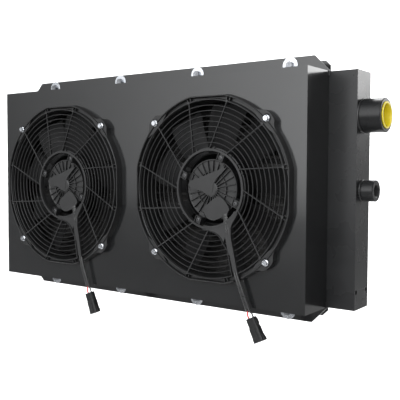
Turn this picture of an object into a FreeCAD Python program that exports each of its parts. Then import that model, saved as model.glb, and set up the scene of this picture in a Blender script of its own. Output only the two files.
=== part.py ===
"""Hydraulic oil cooler with two suction fans on a folded sheet shroud.

Frame: X runs along the core from the left tank to the right tank, Y runs through the core from the
fans to the back, Z is up. The origin is the centre of the four rear mounting holes, on the back
face of the mounting channels. Lengths are in millimetres.
"""
import FreeCAD, Part
import math
import os

import Sketcher
from FreeCAD import Placement, Rotation, Vector

DIMENSIONS = {
    # folded shroud
    "plate_width": 743.0,
    "plate_height": 398.0,
    "shroud_depth": 80.0,
    "sheet_thickness": 2.0,
    "flange_height": 28.8,
    "flange_cut": 27.0,
    "fan_opening_radius": 158.5,
    # core
    "core_depth": 53.0,
    "side_plate_thickness": 5.0,
    "tube_height": 4.4,
    "tube_wall": 0.8,
    "end_bar_width": 12.0,
    "fin_pitch": 24.0,
    "fin_thickness": 0.8,
    # tanks and ports
    "tank_width": 50.4,
    "tank_depth": 55.0,
    "tank_height": 397.0,
    "tank_wall": 5.0,
    "foot_boss_radius": 8.0,
    "foot_hole_radius": 4.0,
    "foot_hole_depth": 14.0,
    "foot_hole_spacing": 43.0,
    "foot_hole_height": 30.0,
    "port_height": 124.0,
    "port_radius": 28.3,
    "port_length": 38.6,
    "port_bore_radius": 19.5,
    "sensor_radius": 18.0,
    "sensor_length": 23.7,
    "sensor_bore_radius": 9.3,
    "neck_length": 3.0,
    "neck_step": 1.8,
    "plug_lip_radius": 22.2,
    "plug_wall": 1.1,
    "plug_length": 20.0,
    # mounting channels
    "channel_length": 700.0,
    "channel_flange": 27.0,
    "channel_thickness": 4.0,
    "channel_cut": 10.0,
    # shroud bolts
    "bolt_pitch": 199.0,
    "bolt_offset": 15.0,
    "rear_hole_spacing": 510.0,
    "bolt_hole_radius": 4.5,
    "bolt_radius": 4.0,
    "bolt_head_flats": 13.0,
    "bolt_head_height": 5.3,
    "bolt_nut_height": 6.5,
    "bolt_washer_radius": 14.5,
    "bolt_washer_thickness": 1.5,
    # fans
    "fan_spacing": 373.0,
    "screw_pitch": 236.0,
    "screw_hole_radius": 3.3,
    "screw_radius": 3.0,
    "screw_head_flats": 10.0,
    "screw_head_height": 4.0,
    "screw_nut_height": 5.0,
    "screw_washer_radius": 6.0,
    "screw_washer_thickness": 1.2,
    "throat_radius": 153.5,
    "throat_wall": 3.0,
    "throat_depth": 30.0,
    "rim_radius": 165.5,
    "rim_base_radius": 167.0,
    "rim_flat": 161.5,
    "rim_flat_half": 35.9,
    "rim_wall": 2.5,
    "rim_height": 14.0,
    "rim_floor": 6.0,
    "ring_seat": 11.0,
    "lug_height": 11.5,
    "lug_radius": 8.5,
    # guard
    "guard_rings": 8,
    "ring_first": 81.5,
    "ring_step": 9.07,
    "ring_width": 1.8,
    "ring_height": 3.0,
    "guard_hub_front": 6.5,
    "guard_rim_front": 14.3,
    "outer_ring_radius": 155.0,
    "outer_ring_width": 2.8,
    "outer_ring_height": 3.3,
    "hub_ring_radius": 68.7,
    "hub_ring_width": 3.6,
    "hub_ring_back": 2.0,
    "spokes": 12,
    "spoke_sweep": 15.5,
    "spoke_width": 2.0,
    "motor_screw_radius": 59.0,
    "motor_screw_angle": 23.5,
    "motor_boss_width": 13.0,
    "motor_boss_front": 4.0,
    "trough_width": 12.6,
    "trough_wall": 1.3,
    "trough_depth": 5.6,
    # motor
    "cover_radius": 52.0,
    "cover_front": 4.0,
    "cover_back": 8.0,
    "cover_rib_front": 0.5,
    "cover_ribs": 24,
    "cover_boss_radius": 13.5,
    "case_radius": 49.0,
    "case_wall": 2.0,
    "case_front": 44.0,
    "magnet_radius": 46.8,
    "magnet_thickness": 5.0,
    "magnet_length": 24.0,
    "armature_radius": 40.5,
    "armature_length": 18.0,
    "armature_slots": 12,
    "commutator_radius": 12.0,
    "commutator_length": 8.0,
    "brush_width": 6.0,
    "brush_length": 16.0,
    "shaft_radius": 4.0,
    "bearing_radius": 9.0,
    "bearing_width": 5.0,
    "shaft_gap": 0.03,
    # impeller
    "hub_radius": 64.0,
    "hub_wall": 2.5,
    "hub_back": 12.0,
    "hub_front": 52.0,
    "impeller_radius": 149.5,
    "blades": 9,
    "blade_thickness": 2.6,
    "nut_flats": 13.0,
    "nut_height": 6.5,
    # cable and connector
    "cable_diameter": 7.0,
    "lead_diameter": 2.6,
    "connector_width": 19.0,
    "connector_depth": 13.0,
    "connector_length": 42.0,
    "connector_lock_length": 17.0,
    "socket_depth": 14.0,
}

# Routes are (X, Z) from the fan's centre and Y from the face of the plate.
FAN_SIDES = {
    "left": {
        "sign": -1,
        "cable": [
            (35.5, -57.0, -4.6), (44.5, -88.0, -7.2), (51.5, -117.0, -10.2),
            (60.5, -145.0, -12.6), (66.5, -167.0, -12.2), (73.6, -187.0, -10.8), (78.4, -202.4, -10.0),
        ],
        "connector": (82.6, -214.6, -10.0),
        "tilt": 22.3,
    },
    "right": {
        "sign": 1,
        "cable": [
            (35.5, -57.0, -4.6), (44.0, -88.0, -7.2), (51.8, -117.0, -10.2),
            (61.5, -145.0, -12.6), (70.8, -167.0, -12.2), (78.2, -187.0, -10.8), (84.6, -202.4, -10.0),
        ],
        "connector": (90.2, -213.2, -10.0),
        "tilt": 26.3,
    },
}

doc = FreeCAD.newDocument("oil_cooler")
sheet = doc.addObject("Spreadsheet::Sheet", "Dimensions")
for row, (alias, amount) in enumerate(DIMENSIONS.items(), start=1):
    sheet.set(f"A{row}", alias)
    sheet.set(f"B{row}", str(amount))
    sheet.setAlias(f"B{row}", alias)
doc.recompute()


class Size:
    """A length that carries its value and the spreadsheet formula that gives it."""

    def __init__(self, value, formula):
        self.value = float(value)
        self.formula = formula

    def _join(self, other, sign, result):
        other = as_size(other)
        return Size(result(self.value, other.value), f"({self.formula} {sign} {other.formula})")

    def __add__(self, other):
        return self._join(other, "+", lambda a, b: a + b)

    def __sub__(self, other):
        return self._join(other, "-", lambda a, b: a - b)

    def __mul__(self, other):
        return self._join(other, "*", lambda a, b: a * b)

    def __truediv__(self, other):
        return self._join(other, "/", lambda a, b: a / b)

    def __neg__(self):
        return Size(-self.value, f"(0 - {self.formula})")

    def __rsub__(self, other):
        return as_size(other) - self

    __radd__ = __add__
    __rmul__ = __mul__


def as_size(number):
    if isinstance(number, Size):
        return number
    return Size(number, repr(float(number)))


def dim(alias):
    return Size(sheet.get(alias), f"Dimensions.{alias}")


def mm(alias):
    """The plain number in one cell, for shapes that are worked out in code."""
    return float(sheet.get(alias))


def bind(obj, prop, size):
    size = as_size(size)
    holder, name = obj, prop
    if "." not in prop:
        setattr(holder, name, size.value)
    obj.setExpression(prop, size.formula)


def place(obj, x=0, y=0, z=0):
    for axis, size in zip("xyz", (x, y, z)):
        bind(obj, f"Placement.Base.{axis}", size)


# The faces that everything is set out from.
PLATE_FRONT = -(dim("core_depth") + dim("shroud_depth"))
PLATE_BACK = PLATE_FRONT + dim("sheet_thickness")
FLANGE_BACK = -dim("core_depth")
FLANGE_FRONT = FLANGE_BACK - dim("sheet_thickness")
HALF_WIDTH = dim("plate_width") / 2
HALF_HEIGHT = dim("plate_height") / 2
FAN_X = dim("fan_spacing") / 2
BOLT_Z = HALF_HEIGHT + dim("bolt_offset")
BOLT_STATIONS = (-1.5, -0.5, 0.5, 1.5)

nodes = []


def keep(label, obj):
    """Names an object as one of the cooler's pieces."""
    obj.Label = label
    nodes.append(obj)
    return obj


# ---------------------------------------------------------------- sketches and features

PLANES = {"x": ("YZ_Plane", 1), "y": ("XZ_Plane", -1), "z": ("XY_Plane", 1)}


def new_body(label, x=0, y=0, z=0):
    body = doc.addObject("PartDesign::Body", label)
    place(body, x, y, z)
    return keep(label, body)


def origin_feature(body, role):
    return next(item for item in body.Origin.OriginFeatures if item.Role == role)


def pin(sketch, geometry, point, x, y):
    for kind, axis, size in (("DistanceX", -2, as_size(x)), ("DistanceY", -1, as_size(y))):
        if abs(size.value) < 1e-9:
            sketch.addConstraint(Sketcher.Constraint("PointOnObject", geometry, point, axis))
            continue
        index = sketch.addConstraint(Sketcher.Constraint(kind, -1, 1, geometry, point, size.value))
        sketch.setExpression(f"Constraints[{index}]", size.formula)


def polygon(sketch, points):
    points = [(as_size(x), as_size(y)) for x, y in points]
    first = sketch.GeometryCount
    count = len(points)
    for i, (x, y) in enumerate(points):
        end_x, end_y = points[(i + 1) % count]
        start = Vector(x.value, y.value, 0)
        end = Vector(end_x.value, end_y.value, 0)
        sketch.addGeometry(Part.LineSegment(start, end))
    for i in range(count):
        sketch.addConstraint(
            Sketcher.Constraint("Coincident", first + i, 2, first + (i + 1) % count, 1)
        )
    for i, (x, y) in enumerate(points):
        pin(sketch, first + i, 1, x, y)


def rectangle(sketch, low_x, high_x, low_y, high_y):
    polygon(sketch, [(low_x, low_y), (high_x, low_y), (high_x, high_y), (low_x, high_y)])


def circle(sketch, x, y, radius):
    x, y, radius = as_size(x), as_size(y), as_size(radius)
    shape = Part.Circle(Vector(x.value, y.value, 0), Vector(0, 0, 1), radius.value)
    index = sketch.addGeometry(shape)
    pin(sketch, index, 3, x, y)
    constraint = sketch.addConstraint(Sketcher.Constraint("Radius", index, radius.value))
    sketch.setExpression(f"Constraints[{constraint}]", radius.formula)


def sketch_on(body, axis, offset, draw):
    sketch = body.newObject("Sketcher::SketchObject", f"{body.Label}_sketch")
    role, _ = PLANES[axis]
    sketch.AttachmentSupport = [(origin_feature(body, role), "")]
    sketch.MapMode = "FlatFace"
    bind(sketch, "AttachmentOffset.Base.z", offset)
    draw(sketch)
    return sketch


def extrude(body, kind, axis, low, high, draw):
    """Pads or pockets a sketch between two stations on one axis."""
    low, high = as_size(low), as_size(high)
    _, sign = PLANES[axis]
    sketch = sketch_on(body, axis, low if sign > 0 else -high, draw)
    feature = body.newObject(f"PartDesign::{kind}", f"{body.Label}_{kind.lower()}")
    feature.Profile = sketch
    bind(feature, "Length", high - low)
    if kind == "Pocket":
        before = body.Shape.Volume
        feature.Reversed = True
        doc.recompute()
        if not feature.Shape.Volume < before - 1e-6:
            raise RuntimeError(f"{body.Label}: a pocket cut nothing")
    doc.recompute()
    return feature


def pad(body, axis, low, high, draw):
    return extrude(body, "Pad", axis, low, high, draw)


def pocket(body, axis, low, high, draw):
    return extrude(body, "Pocket", axis, low, high, draw)


def revolve(body, points):
    """Turns a profile, given as (radius, Y), about the body's Y axis."""
    sketch = sketch_on(body, "z", 0, lambda s: polygon(s, points))
    feature = body.newObject("PartDesign::Revolution", f"{body.Label}_turned")
    feature.Profile = sketch
    feature.ReferenceAxis = (sketch, ["V_Axis"])
    feature.Angle = 360
    doc.recompute()
    return feature


def repeat_round(body, feature, count):
    pattern = body.newObject("PartDesign::PolarPattern", f"{body.Label}_pattern")
    pattern.Originals = [feature]
    pattern.Axis = (origin_feature(body, "Y_Axis"), [""])
    pattern.Angle = 360
    bind_count(pattern, count)
    body.Tip = pattern
    doc.recompute()
    return pattern


def bind_count(pattern, alias):
    pattern.Occurrences = int(mm(alias))
    pattern.setExpression("Occurrences", f"Dimensions.{alias}")


# ---------------------------------------------------------------- primitives and copies

ALONG_Y = Rotation(Vector(1, 0, 0), -90)
ALONG_X = Rotation(Vector(0, 1, 0), 90)


def primitive(kind, rotation=Rotation(), at=(0, 0, 0), **sizes):
    """A Part primitive whose sizes and position are formulas."""
    obj = doc.addObject(f"Part::{kind}", kind.lower())
    for prop, size in sizes.items():
        bind(obj, prop, size)
    obj.Placement = Placement(Vector(), rotation)
    place(obj, *at)
    return obj


def cylinder(radius, height, rotation=ALONG_Y, at=(0, 0, 0)):
    return primitive("Cylinder", rotation, at, Radius=radius, Height=height)


def hexagon(flats, height, rotation=ALONG_Y, at=(0, 0, 0)):
    obj = primitive("Prism", rotation, at, Circumradius=flats / math.sqrt(3), Height=height)
    obj.Polygon = 6
    return obj


def box(x, y, z, at=(0, 0, 0)):
    return primitive("Box", Rotation(), at, Length=x, Width=y, Height=z)


def fuse(*parts):
    obj = doc.addObject("Part::MultiFuse", "fused")
    obj.Shapes = list(parts)
    return obj


def cut(base, tool):
    obj = doc.addObject("Part::Cut", "cut")
    obj.Base = base
    obj.Tool = tool
    return obj


def shape_node(label, shape):
    """A piece whose shape is worked out from the sheet by Part's own functions."""
    obj = doc.addObject("Part::Feature", label)
    obj.Shape = shape
    return keep(label, obj)


def copies(label, master, positions):
    """Separate solids of one master piece, as one node."""
    doc.recompute()
    solids = []
    for x, y, z in positions:
        solid = master.Shape.copy()
        solid.translate(Vector(x, y, z))
        solids.append(solid)
    return shape_node(label, Part.makeCompound(solids))


def tube_y(outer, inner, y_low, y_high):
    """A plain ring about the Y axis."""
    base, along = Vector(0, y_low, 0), Vector(0, 1, 0)
    length = y_high - y_low
    ring = Part.makeCylinder(outer, length, base, along)
    return ring.cut(Part.makeCylinder(inner, length, base, along))


# ---------------------------------------------------------------- folded shroud


def build_shroud():
    thickness = dim("sheet_thickness")
    shroud = new_body("fan_shroud")
    pad(shroud, "y", PLATE_FRONT, FLANGE_BACK,
        lambda s: rectangle(s, -HALF_WIDTH, HALF_WIDTH, -HALF_HEIGHT, HALF_HEIGHT))
    inside_x = HALF_WIDTH - thickness
    inside_z = HALF_HEIGHT - thickness
    pocket(shroud, "y", PLATE_BACK, FLANGE_BACK,
           lambda s: rectangle(s, -inside_x, inside_x, -inside_z, inside_z))
    for side in (1, -1):
        build_flange(shroud, side)
    pocket(shroud, "y", PLATE_FRONT, PLATE_BACK, draw_fan_openings)
    pocket(shroud, "y", FLANGE_FRONT, FLANGE_BACK, draw_bolt_holes)


def build_flange(shroud, side):
    """The outward lip along the top (side 1) or bottom (side -1) wall, cut at 45 degrees."""
    root = (HALF_HEIGHT - dim("sheet_thickness")) * side
    shoulder = (HALF_HEIGHT + dim("flange_height") - dim("flange_cut")) * side
    edge = (HALF_HEIGHT + dim("flange_height")) * side
    short = HALF_WIDTH - dim("flange_cut")
    outline = [
        (-HALF_WIDTH, root), (HALF_WIDTH, root), (HALF_WIDTH, shoulder),
        (short, edge), (-short, edge), (-HALF_WIDTH, shoulder),
    ]
    pad(shroud, "y", FLANGE_FRONT, FLANGE_BACK, lambda s: polygon(s, outline))


def draw_fan_openings(sketch):
    reach = dim("screw_pitch") / 2
    for sign in (-1, 1):
        circle(sketch, FAN_X * sign, 0, dim("fan_opening_radius"))
        for side in (-1, 1):
            for level in (-1, 1):
                circle(sketch, FAN_X * sign + reach * side, reach * level, dim("screw_hole_radius"))


def draw_bolt_holes(sketch):
    for level in (-1, 1):
        for station in BOLT_STATIONS:
            circle(sketch, dim("bolt_pitch") * station, BOLT_Z * level, dim("bolt_hole_radius"))


# ---------------------------------------------------------------- mounting channels


def build_channel(label, side):
    """A U channel along the top (side 1) or bottom (side -1) of the core, open outwards."""
    channel = new_body(label)
    thickness = dim("channel_thickness")
    web = HALF_HEIGHT * side
    inner = (HALF_HEIGHT + thickness) * side
    edge = (HALF_HEIGHT + dim("channel_flange")) * side
    front = FLANGE_BACK
    profile = [
        (front, web), (0, web), (0, edge), (-thickness, edge),
        (-thickness, inner), (front + thickness, inner), (front + thickness, edge), (front, edge),
    ]
    half = dim("channel_length") / 2
    pad(channel, "x", -half, half, lambda s: polygon(s, profile))
    cut_size = dim("channel_cut")

    def corners(sketch):
        for end in (-1, 1):
            polygon(sketch, [
                (half * end, edge), (half * end, edge - cut_size * side), ((half - cut_size) * end, edge),
            ])

    def holes(sketch):
        for station in BOLT_STATIONS:
            circle(sketch, dim("bolt_pitch") * station, BOLT_Z * side, dim("bolt_hole_radius"))

    def rear_holes(sketch):
        for end in (-1, 1):
            circle(sketch, dim("rear_hole_spacing") / 2 * end, BOLT_Z * side, dim("bolt_hole_radius"))

    pocket(channel, "y", front, 0, corners)
    pocket(channel, "y", front, front + thickness, holes)
    pocket(channel, "y", -thickness, 0, rear_holes)


# ---------------------------------------------------------------- core


def build_core():
    tube_height = dim("tube_height")
    wall = dim("tube_wall")
    width = dim("plate_width")
    depth = dim("core_depth")
    plate = dim("side_plate_thickness")
    side_plate = box(width, depth, plate, at=(-HALF_WIDTH, FLANGE_BACK, 0))
    copies("core_side_plates", side_plate,
           [(0, 0, -HALF_HEIGHT.value), (0, 0, HALF_HEIGHT.value - plate.value)])

    count = 27
    stack = mm("plate_height") - 2 * mm("side_plate_thickness")
    gap = (stack - count * mm("tube_height")) / (count + 1)
    pitch = gap + mm("tube_height")
    lowest = -stack / 2

    outer = box(width, depth, tube_height, at=(-HALF_WIDTH, FLANGE_BACK, 0))
    inner = box(width, depth - wall * 2, tube_height - wall * 2,
                at=(-HALF_WIDTH, FLANGE_BACK + wall, wall))
    tube = cut(outer, inner)
    copies("core_oil_tubes", tube, [(0, 0, lowest + gap + i * pitch) for i in range(count)])

    bar = box(dim("end_bar_width"), depth, gap, at=(0, FLANGE_BACK, 0))
    ends = (-HALF_WIDTH.value, HALF_WIDTH.value - mm("end_bar_width"))
    copies("core_end_bars", bar,
           [(x, 0, lowest + i * pitch) for i in range(count + 1) for x in ends])

    fin = doc.addObject("Part::Feature", "fin_bank")
    fin.Shape = fin_bank(gap)
    copies("core_air_fins", fin, [(0, 0, lowest + i * pitch) for i in range(count + 1)])


def fin_bank(height):
    """One folded fin strip between two tubes: a square wave along X, one piece through Y."""
    half_sheet = mm("fin_thickness") / 2
    reach = mm("plate_width") / 2 - mm("end_bar_width")
    folds = int(2 * reach // mm("fin_pitch"))
    step = 2 * reach / folds
    low, high = half_sheet, height - half_sheet
    path = [(-reach, low)]
    for i in range(folds):
        start = -reach + i * step
        path += [(start + step / 2, low), (start + step / 2, high)]
        path += [(start + step - half_sheet, high), (start + step - half_sheet, low)]
    outline = ribbon(path, mm("fin_thickness"))
    face = Part.Face(Part.makePolygon([Vector(x, 0, z) for x, z in outline + outline[:1]]))
    strip = face.extrude(Vector(0, mm("core_depth"), 0))
    strip.translate(Vector(0, -mm("core_depth"), 0))
    return strip


def ribbon(path, thickness):
    """The outline of a sheet of one thickness that follows a square path."""
    half = thickness / 2
    normals = []
    for (x1, z1), (x2, z2) in zip(path, path[1:]):
        length = math.hypot(x2 - x1, z2 - z1)
        normals.append(((z1 - z2) / length, (x2 - x1) / length))
    corners = [normals[0]]
    for (ax, az), (bx, bz) in zip(normals, normals[1:]):
        share = 1 + ax * bx + az * bz
        corners.append(((ax + bx) / share, (az + bz) / share))
    corners.append(normals[-1])
    left = [(x + half * nx, z + half * nz) for (x, z), (nx, nz) in zip(path, corners)]
    right = [(x - half * nx, z - half * nz) for (x, z), (nx, nz) in zip(path, corners)]
    return left + right[::-1]


# ---------------------------------------------------------------- tanks and ports


def build_tank(label, side, port_level, with_sensor):
    """A welded box that closes one end of the core; side is 1 on the right, -1 on the left."""
    tank = new_body(label)
    wall = dim("tank_wall")
    near = HALF_WIDTH * side
    far = (HALF_WIDTH + dim("tank_width")) * side
    low, high = (near, far) if side > 0 else (far, near)
    half = dim("tank_height") / 2
    front = -dim("tank_depth")
    middle = front / 2
    pad(tank, "x", low, high, lambda s: rectangle(s, front, 0, -half, half))

    shell = (near, far - wall) if side > 0 else (far + wall, near)
    pocket(tank, "x", shell[0], shell[1],
           lambda s: rectangle(s, front + wall, -wall, wall - half, half - wall))
    end_wall = (far - wall, far) if side > 0 else (far, far + wall)
    pocket(tank, "x", end_wall[0], end_wall[1],
           lambda s: circle(s, middle, dim("port_height") * port_level, dim("port_bore_radius") + 1))
    if with_sensor:
        pocket(tank, "x", end_wall[0], end_wall[1],
               lambda s: circle(s, middle, 0, dim("sensor_bore_radius") + 1))
    depth = dim("foot_hole_depth")
    tapped = (far - depth, far) if side > 0 else (far, far + depth)
    solid = (far - depth - 3, far) if side > 0 else (far, far + depth + 3)

    def foot_circles(sketch, radius):
        for step in (-1, 1):
            circle(sketch, middle + dim("foot_hole_spacing") * (step / 2),
                   dim("foot_hole_height") - half, radius)

    pad(tank, "x", solid[0], solid[1], lambda s: foot_circles(s, dim("foot_boss_radius")))
    trim = sorted((near, far), key=lambda size: size.value)
    pocket(tank, "x", trim[0], trim[1], lambda s: foot_edges(s, front, half))
    pocket(tank, "x", tapped[0], tapped[1], lambda s: foot_circles(s, dim("foot_hole_radius")))


def foot_edges(sketch, front, half):
    """The parts of the two foot bosses that would stand out of the tank's faces."""
    level = dim("foot_hole_height") - half
    reach = dim("foot_boss_radius") + 2
    for low, high in ((0, 5), (front - 5, front)):
        rectangle(sketch, low, high, level - reach, level + reach)


def build_boss(label, side, level, radius, bore, length):
    """A round welded boss on a tank's outer face, with a short smaller neck where it is welded."""
    face = HALF_WIDTH + dim("tank_width")
    boss = new_body(label, x=face * side, y=-dim("tank_depth") / 2, z=level)
    neck = dim("neck_length")
    spans = (0, neck, length) if side > 0 else (0, -neck, -length)
    first = sorted((as_size(spans[0]), as_size(spans[1])), key=lambda size: size.value)
    second = sorted((as_size(spans[1]), as_size(spans[2])), key=lambda size: size.value)
    whole = sorted((as_size(spans[0]), as_size(spans[2])), key=lambda size: size.value)
    pad(boss, "x", *first, lambda s: circle(s, 0, 0, radius - dim("neck_step")))
    pad(boss, "x", *second, lambda s: circle(s, 0, 0, radius))
    pocket(boss, "x", *whole, lambda s: circle(s, 0, 0, bore))


def build_plug(label, side, level):
    """A hollow push-in dust plug: a lip on the boss's face and a thin cup down its bore."""
    face = HALF_WIDTH + dim("tank_width") + dim("port_length")
    plug = new_body(label, x=face * side, y=-dim("tank_depth") / 2, z=level)
    lip, wall, length = 1.2, dim("plug_wall"), dim("plug_length")
    cup_radius = dim("port_bore_radius") - 0.2
    outside = (0, lip) if side > 0 else (-lip, 0)
    inside = (-length, 0) if side > 0 else (0, length)
    hollow = (wall - length, lip) if side > 0 else (-lip, length - wall)
    pad(plug, "x", *outside, lambda s: circle(s, 0, 0, dim("plug_lip_radius")))
    pad(plug, "x", *inside, lambda s: circle(s, 0, 0, cup_radius))
    pocket(plug, "x", *hollow, lambda s: circle(s, 0, 0, cup_radius - wall))


# ---------------------------------------------------------------- fasteners


def bolt(flats, head, radius, length):
    """A hexagon bolt along Y, with the underside of its head at the origin."""
    return fuse(hexagon(flats, head, at=(0, -head, 0)), cylinder(radius, length))


def washer(radius, hole, thickness):
    return cut(cylinder(radius, thickness), cylinder(hole, thickness))


def nut(flats, height, hole):
    return cut(hexagon(flats, height), cylinder(hole, height))


def build_shroud_fasteners():
    thickness = mm("bolt_washer_thickness")
    spots = [(mm("bolt_pitch") * station, BOLT_Z.value * level)
             for level in (-1, 1) for station in BOLT_STATIONS]
    under_head = FLANGE_FRONT.value - thickness
    behind = FLANGE_BACK.value + mm("channel_thickness")
    length = dim("channel_thickness") + dim("sheet_thickness") + dim("bolt_washer_thickness") \
        + dim("bolt_nut_height") + 2.5
    copies("shroud_bolts",
           bolt(dim("bolt_head_flats"), dim("bolt_head_height"), dim("bolt_radius"), length),
           [(x, under_head, z) for x, z in spots])
    copies("shroud_washers",
           washer(dim("bolt_washer_radius"), dim("bolt_hole_radius"), dim("bolt_washer_thickness")),
           [(x, under_head, z) for x, z in spots])
    copies("shroud_nuts", nut(dim("bolt_head_flats"), dim("bolt_nut_height"), dim("bolt_radius")),
           [(x, behind, z) for x, z in spots])


def build_fan_fasteners():
    reach = mm("screw_pitch") / 2
    spots = [(FAN_X.value * sign + reach * side, reach * level)
             for sign in (-1, 1) for side in (-1, 1) for level in (-1, 1)]
    lug_face = PLATE_FRONT.value - mm("lug_height")
    under_head = lug_face - mm("screw_washer_thickness")
    length = dim("screw_washer_thickness") + dim("lug_height") + dim("sheet_thickness") \
        + dim("screw_nut_height") + 1.5
    copies("fan_screws",
           bolt(dim("screw_head_flats"), dim("screw_head_height"), dim("screw_radius"), length),
           [(x, under_head, z) for x, z in spots])
    copies("fan_washers",
           washer(dim("screw_washer_radius"), dim("screw_hole_radius"), dim("screw_washer_thickness")),
           [(x, under_head, z) for x, z in spots])
    copies("fan_nuts", nut(dim("screw_head_flats"), dim("screw_nut_height"), dim("screw_radius")),
           [(x, PLATE_BACK.value, z) for x, z in spots])


MOTOR_SCREW_RADIUS = 2.0


def motor_screw_spots():
    """Where the four motor screws stand, as (X, Z) from the fan's centre."""
    spots = []
    for quarter in range(4):
        angle = math.radians(mm("motor_screw_angle") + 90 * quarter)
        radius = mm("motor_screw_radius")
        spots.append((radius * math.sin(angle), radius * math.cos(angle)))
    return spots


def build_motor_screws():
    head = 2.6
    screw = fuse(cylinder(4.0, head, at=(0, -head, 0)), cylinder(MOTOR_SCREW_RADIUS, 9.5))
    front = PLATE_FRONT.value - mm("motor_boss_front")
    copies("motor_screws", screw,
           [(FAN_X.value * sign + x, front, z) for sign in (-1, 1) for x, z in motor_screw_spots()])


# ---------------------------------------------------------------- fan housing and guard


def build_housing(side, x):
    """The moulded ring: throat through the plate, raised rim with four flats, and corner lugs."""
    housing = new_body(f"{side}_fan_housing", x=x, y=PLATE_FRONT)
    throat = dim("throat_radius")
    outside = throat + dim("throat_wall")
    rim_inner = dim("rim_radius") - dim("rim_wall")
    height = dim("rim_height")
    revolve(housing, [
        (throat, dim("throat_depth")), (throat, -dim("ring_seat")), (outside, -dim("ring_seat")),
        (outside, -dim("rim_floor")), (rim_inner, -dim("rim_floor")), (rim_inner, -height),
        (dim("rim_radius"), -height), (dim("rim_base_radius"), 0), (outside, 0),
        (outside, dim("throat_depth")),
    ])
    flat = dim("rim_flat")
    beyond = dim("rim_base_radius") + 5

    def flats(sketch):
        for sign in (-1, 1):
            low, high = sorted((flat * sign, beyond * sign), key=lambda size: size.value)
            rectangle(sketch, low, high, -beyond / 2, beyond / 2)
            rectangle(sketch, -beyond / 2, beyond / 2, low, high)

    pocket(housing, "y", -height, 0, flats)
    chord = dim("rim_flat_half")

    def flat_walls(sketch):
        for sign in (-1, 1):
            inner = flat - dim("rim_wall")
            low, high = sorted((inner * sign, flat * sign), key=lambda size: size.value)
            rectangle(sketch, low, high, -chord, chord)
            rectangle(sketch, -chord, chord, low, high)

    pad(housing, "y", -height, -dim("rim_floor") + 1, flat_walls)
    reach = dim("screw_pitch") / 2
    lug = dim("lug_radius")

    def lugs(sketch):
        for across in (-1, 1):
            for level in (-1, 1):
                circle(sketch, reach * across, reach * level, lug)

    pad(housing, "y", -dim("lug_height"), 0, lugs)
    clearance = dim("lug_height") + 5

    def screw_holes(sketch):
        for across in (-1, 1):
            for level in (-1, 1):
                circle(sketch, reach * across, reach * level, dim("screw_hole_radius"))

    pocket(housing, "y", -clearance, 1, screw_holes)

    def head_rooms(sketch):
        for across in (-1, 1):
            for level in (-1, 1):
                circle(sketch, reach * across, reach * level, dim("screw_washer_radius") + 0.4)

    pocket(housing, "y", -clearance, -dim("lug_height"), head_rooms)
    route = FAN_SIDES[side]["cable"]
    width = mm("trough_width") + 0.6
    below = mm("trough_depth") + 0.4
    under_trough = trough_block(route[0], route[3], width, 6, forward=30, backward=below)
    under_cable = trough_block(route[3], route[5], width, 10, forward=30, backward=5.0, lead=2)
    notched = doc.addObject("Part::Feature", f"{side}_cable_notch")
    notched.Shape = under_trough.fuse(under_cable)
    return housing, notched


def guard_face(radius):
    """How far in front of the plate the guard's wires stand at one radius."""
    inner, outer = mm("hub_ring_radius"), mm("outer_ring_radius")
    share = (radius - inner) / (outer - inner)
    return mm("guard_hub_front") + share * (mm("guard_rim_front") - mm("guard_hub_front"))


def build_guard(side, x):
    """Rings and swept spokes on a shallow cone, a hub ring with four bosses, and a cable trough."""
    half = mm("ring_width") / 2
    parts = []
    for i in range(int(mm("guard_rings"))):
        radius = mm("ring_first") + i * mm("ring_step")
        front = -guard_face(radius) + 0.3
        parts.append(tube_y(radius + half, radius - half, front, front + mm("ring_height")))
    outer, wide = mm("outer_ring_radius"), mm("outer_ring_width") / 2
    front = -mm("guard_rim_front")
    parts.append(tube_y(outer + wide, outer - wide, front, front + mm("outer_ring_height")))
    hub, wide = mm("hub_ring_radius"), mm("hub_ring_width") / 2
    parts.append(tube_y(hub + wide, hub - wide, -mm("guard_hub_front") - 0.6, mm("hub_ring_back")))
    skipped = 5
    for i in range(int(mm("spokes"))):
        if i != skipped:
            parts.append(spoke(360 / mm("spokes") * i))
    for x_boss, z_boss in motor_screw_spots():
        parts.append(motor_boss(x_boss, z_boss))
    guard = parts[0].multiFuse(parts[1:])
    start, end = FAN_SIDES[side]["cable"][0], FAN_SIDES[side]["cable"][3]
    width, wall, depth = mm("trough_width"), mm("trough_wall"), mm("trough_depth")
    envelope = trough_block(start, end, width, 0, forward=30, backward=depth, lead=16)
    shell = trough_block(start, end, width, 0, forward=2.6, backward=depth)
    hollow = trough_block(start, end, width - 2 * wall, 12, forward=30, backward=depth - wall)
    guard = guard.cut(envelope).fuse(shell).cut(hollow)
    for x_boss, z_boss in motor_screw_spots():
        base = Vector(x_boss, -20, z_boss)
        guard = guard.cut(Part.makeCylinder(MOTOR_SCREW_RADIUS + 0.2, 40, base, Vector(0, 1, 0)))
    guard = max(guard.removeSplitter().Solids, key=lambda solid: solid.Volume)
    node = shape_node(f"{side}_fan_guard", guard)
    place(node, x, PLATE_FRONT, 0)


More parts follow.
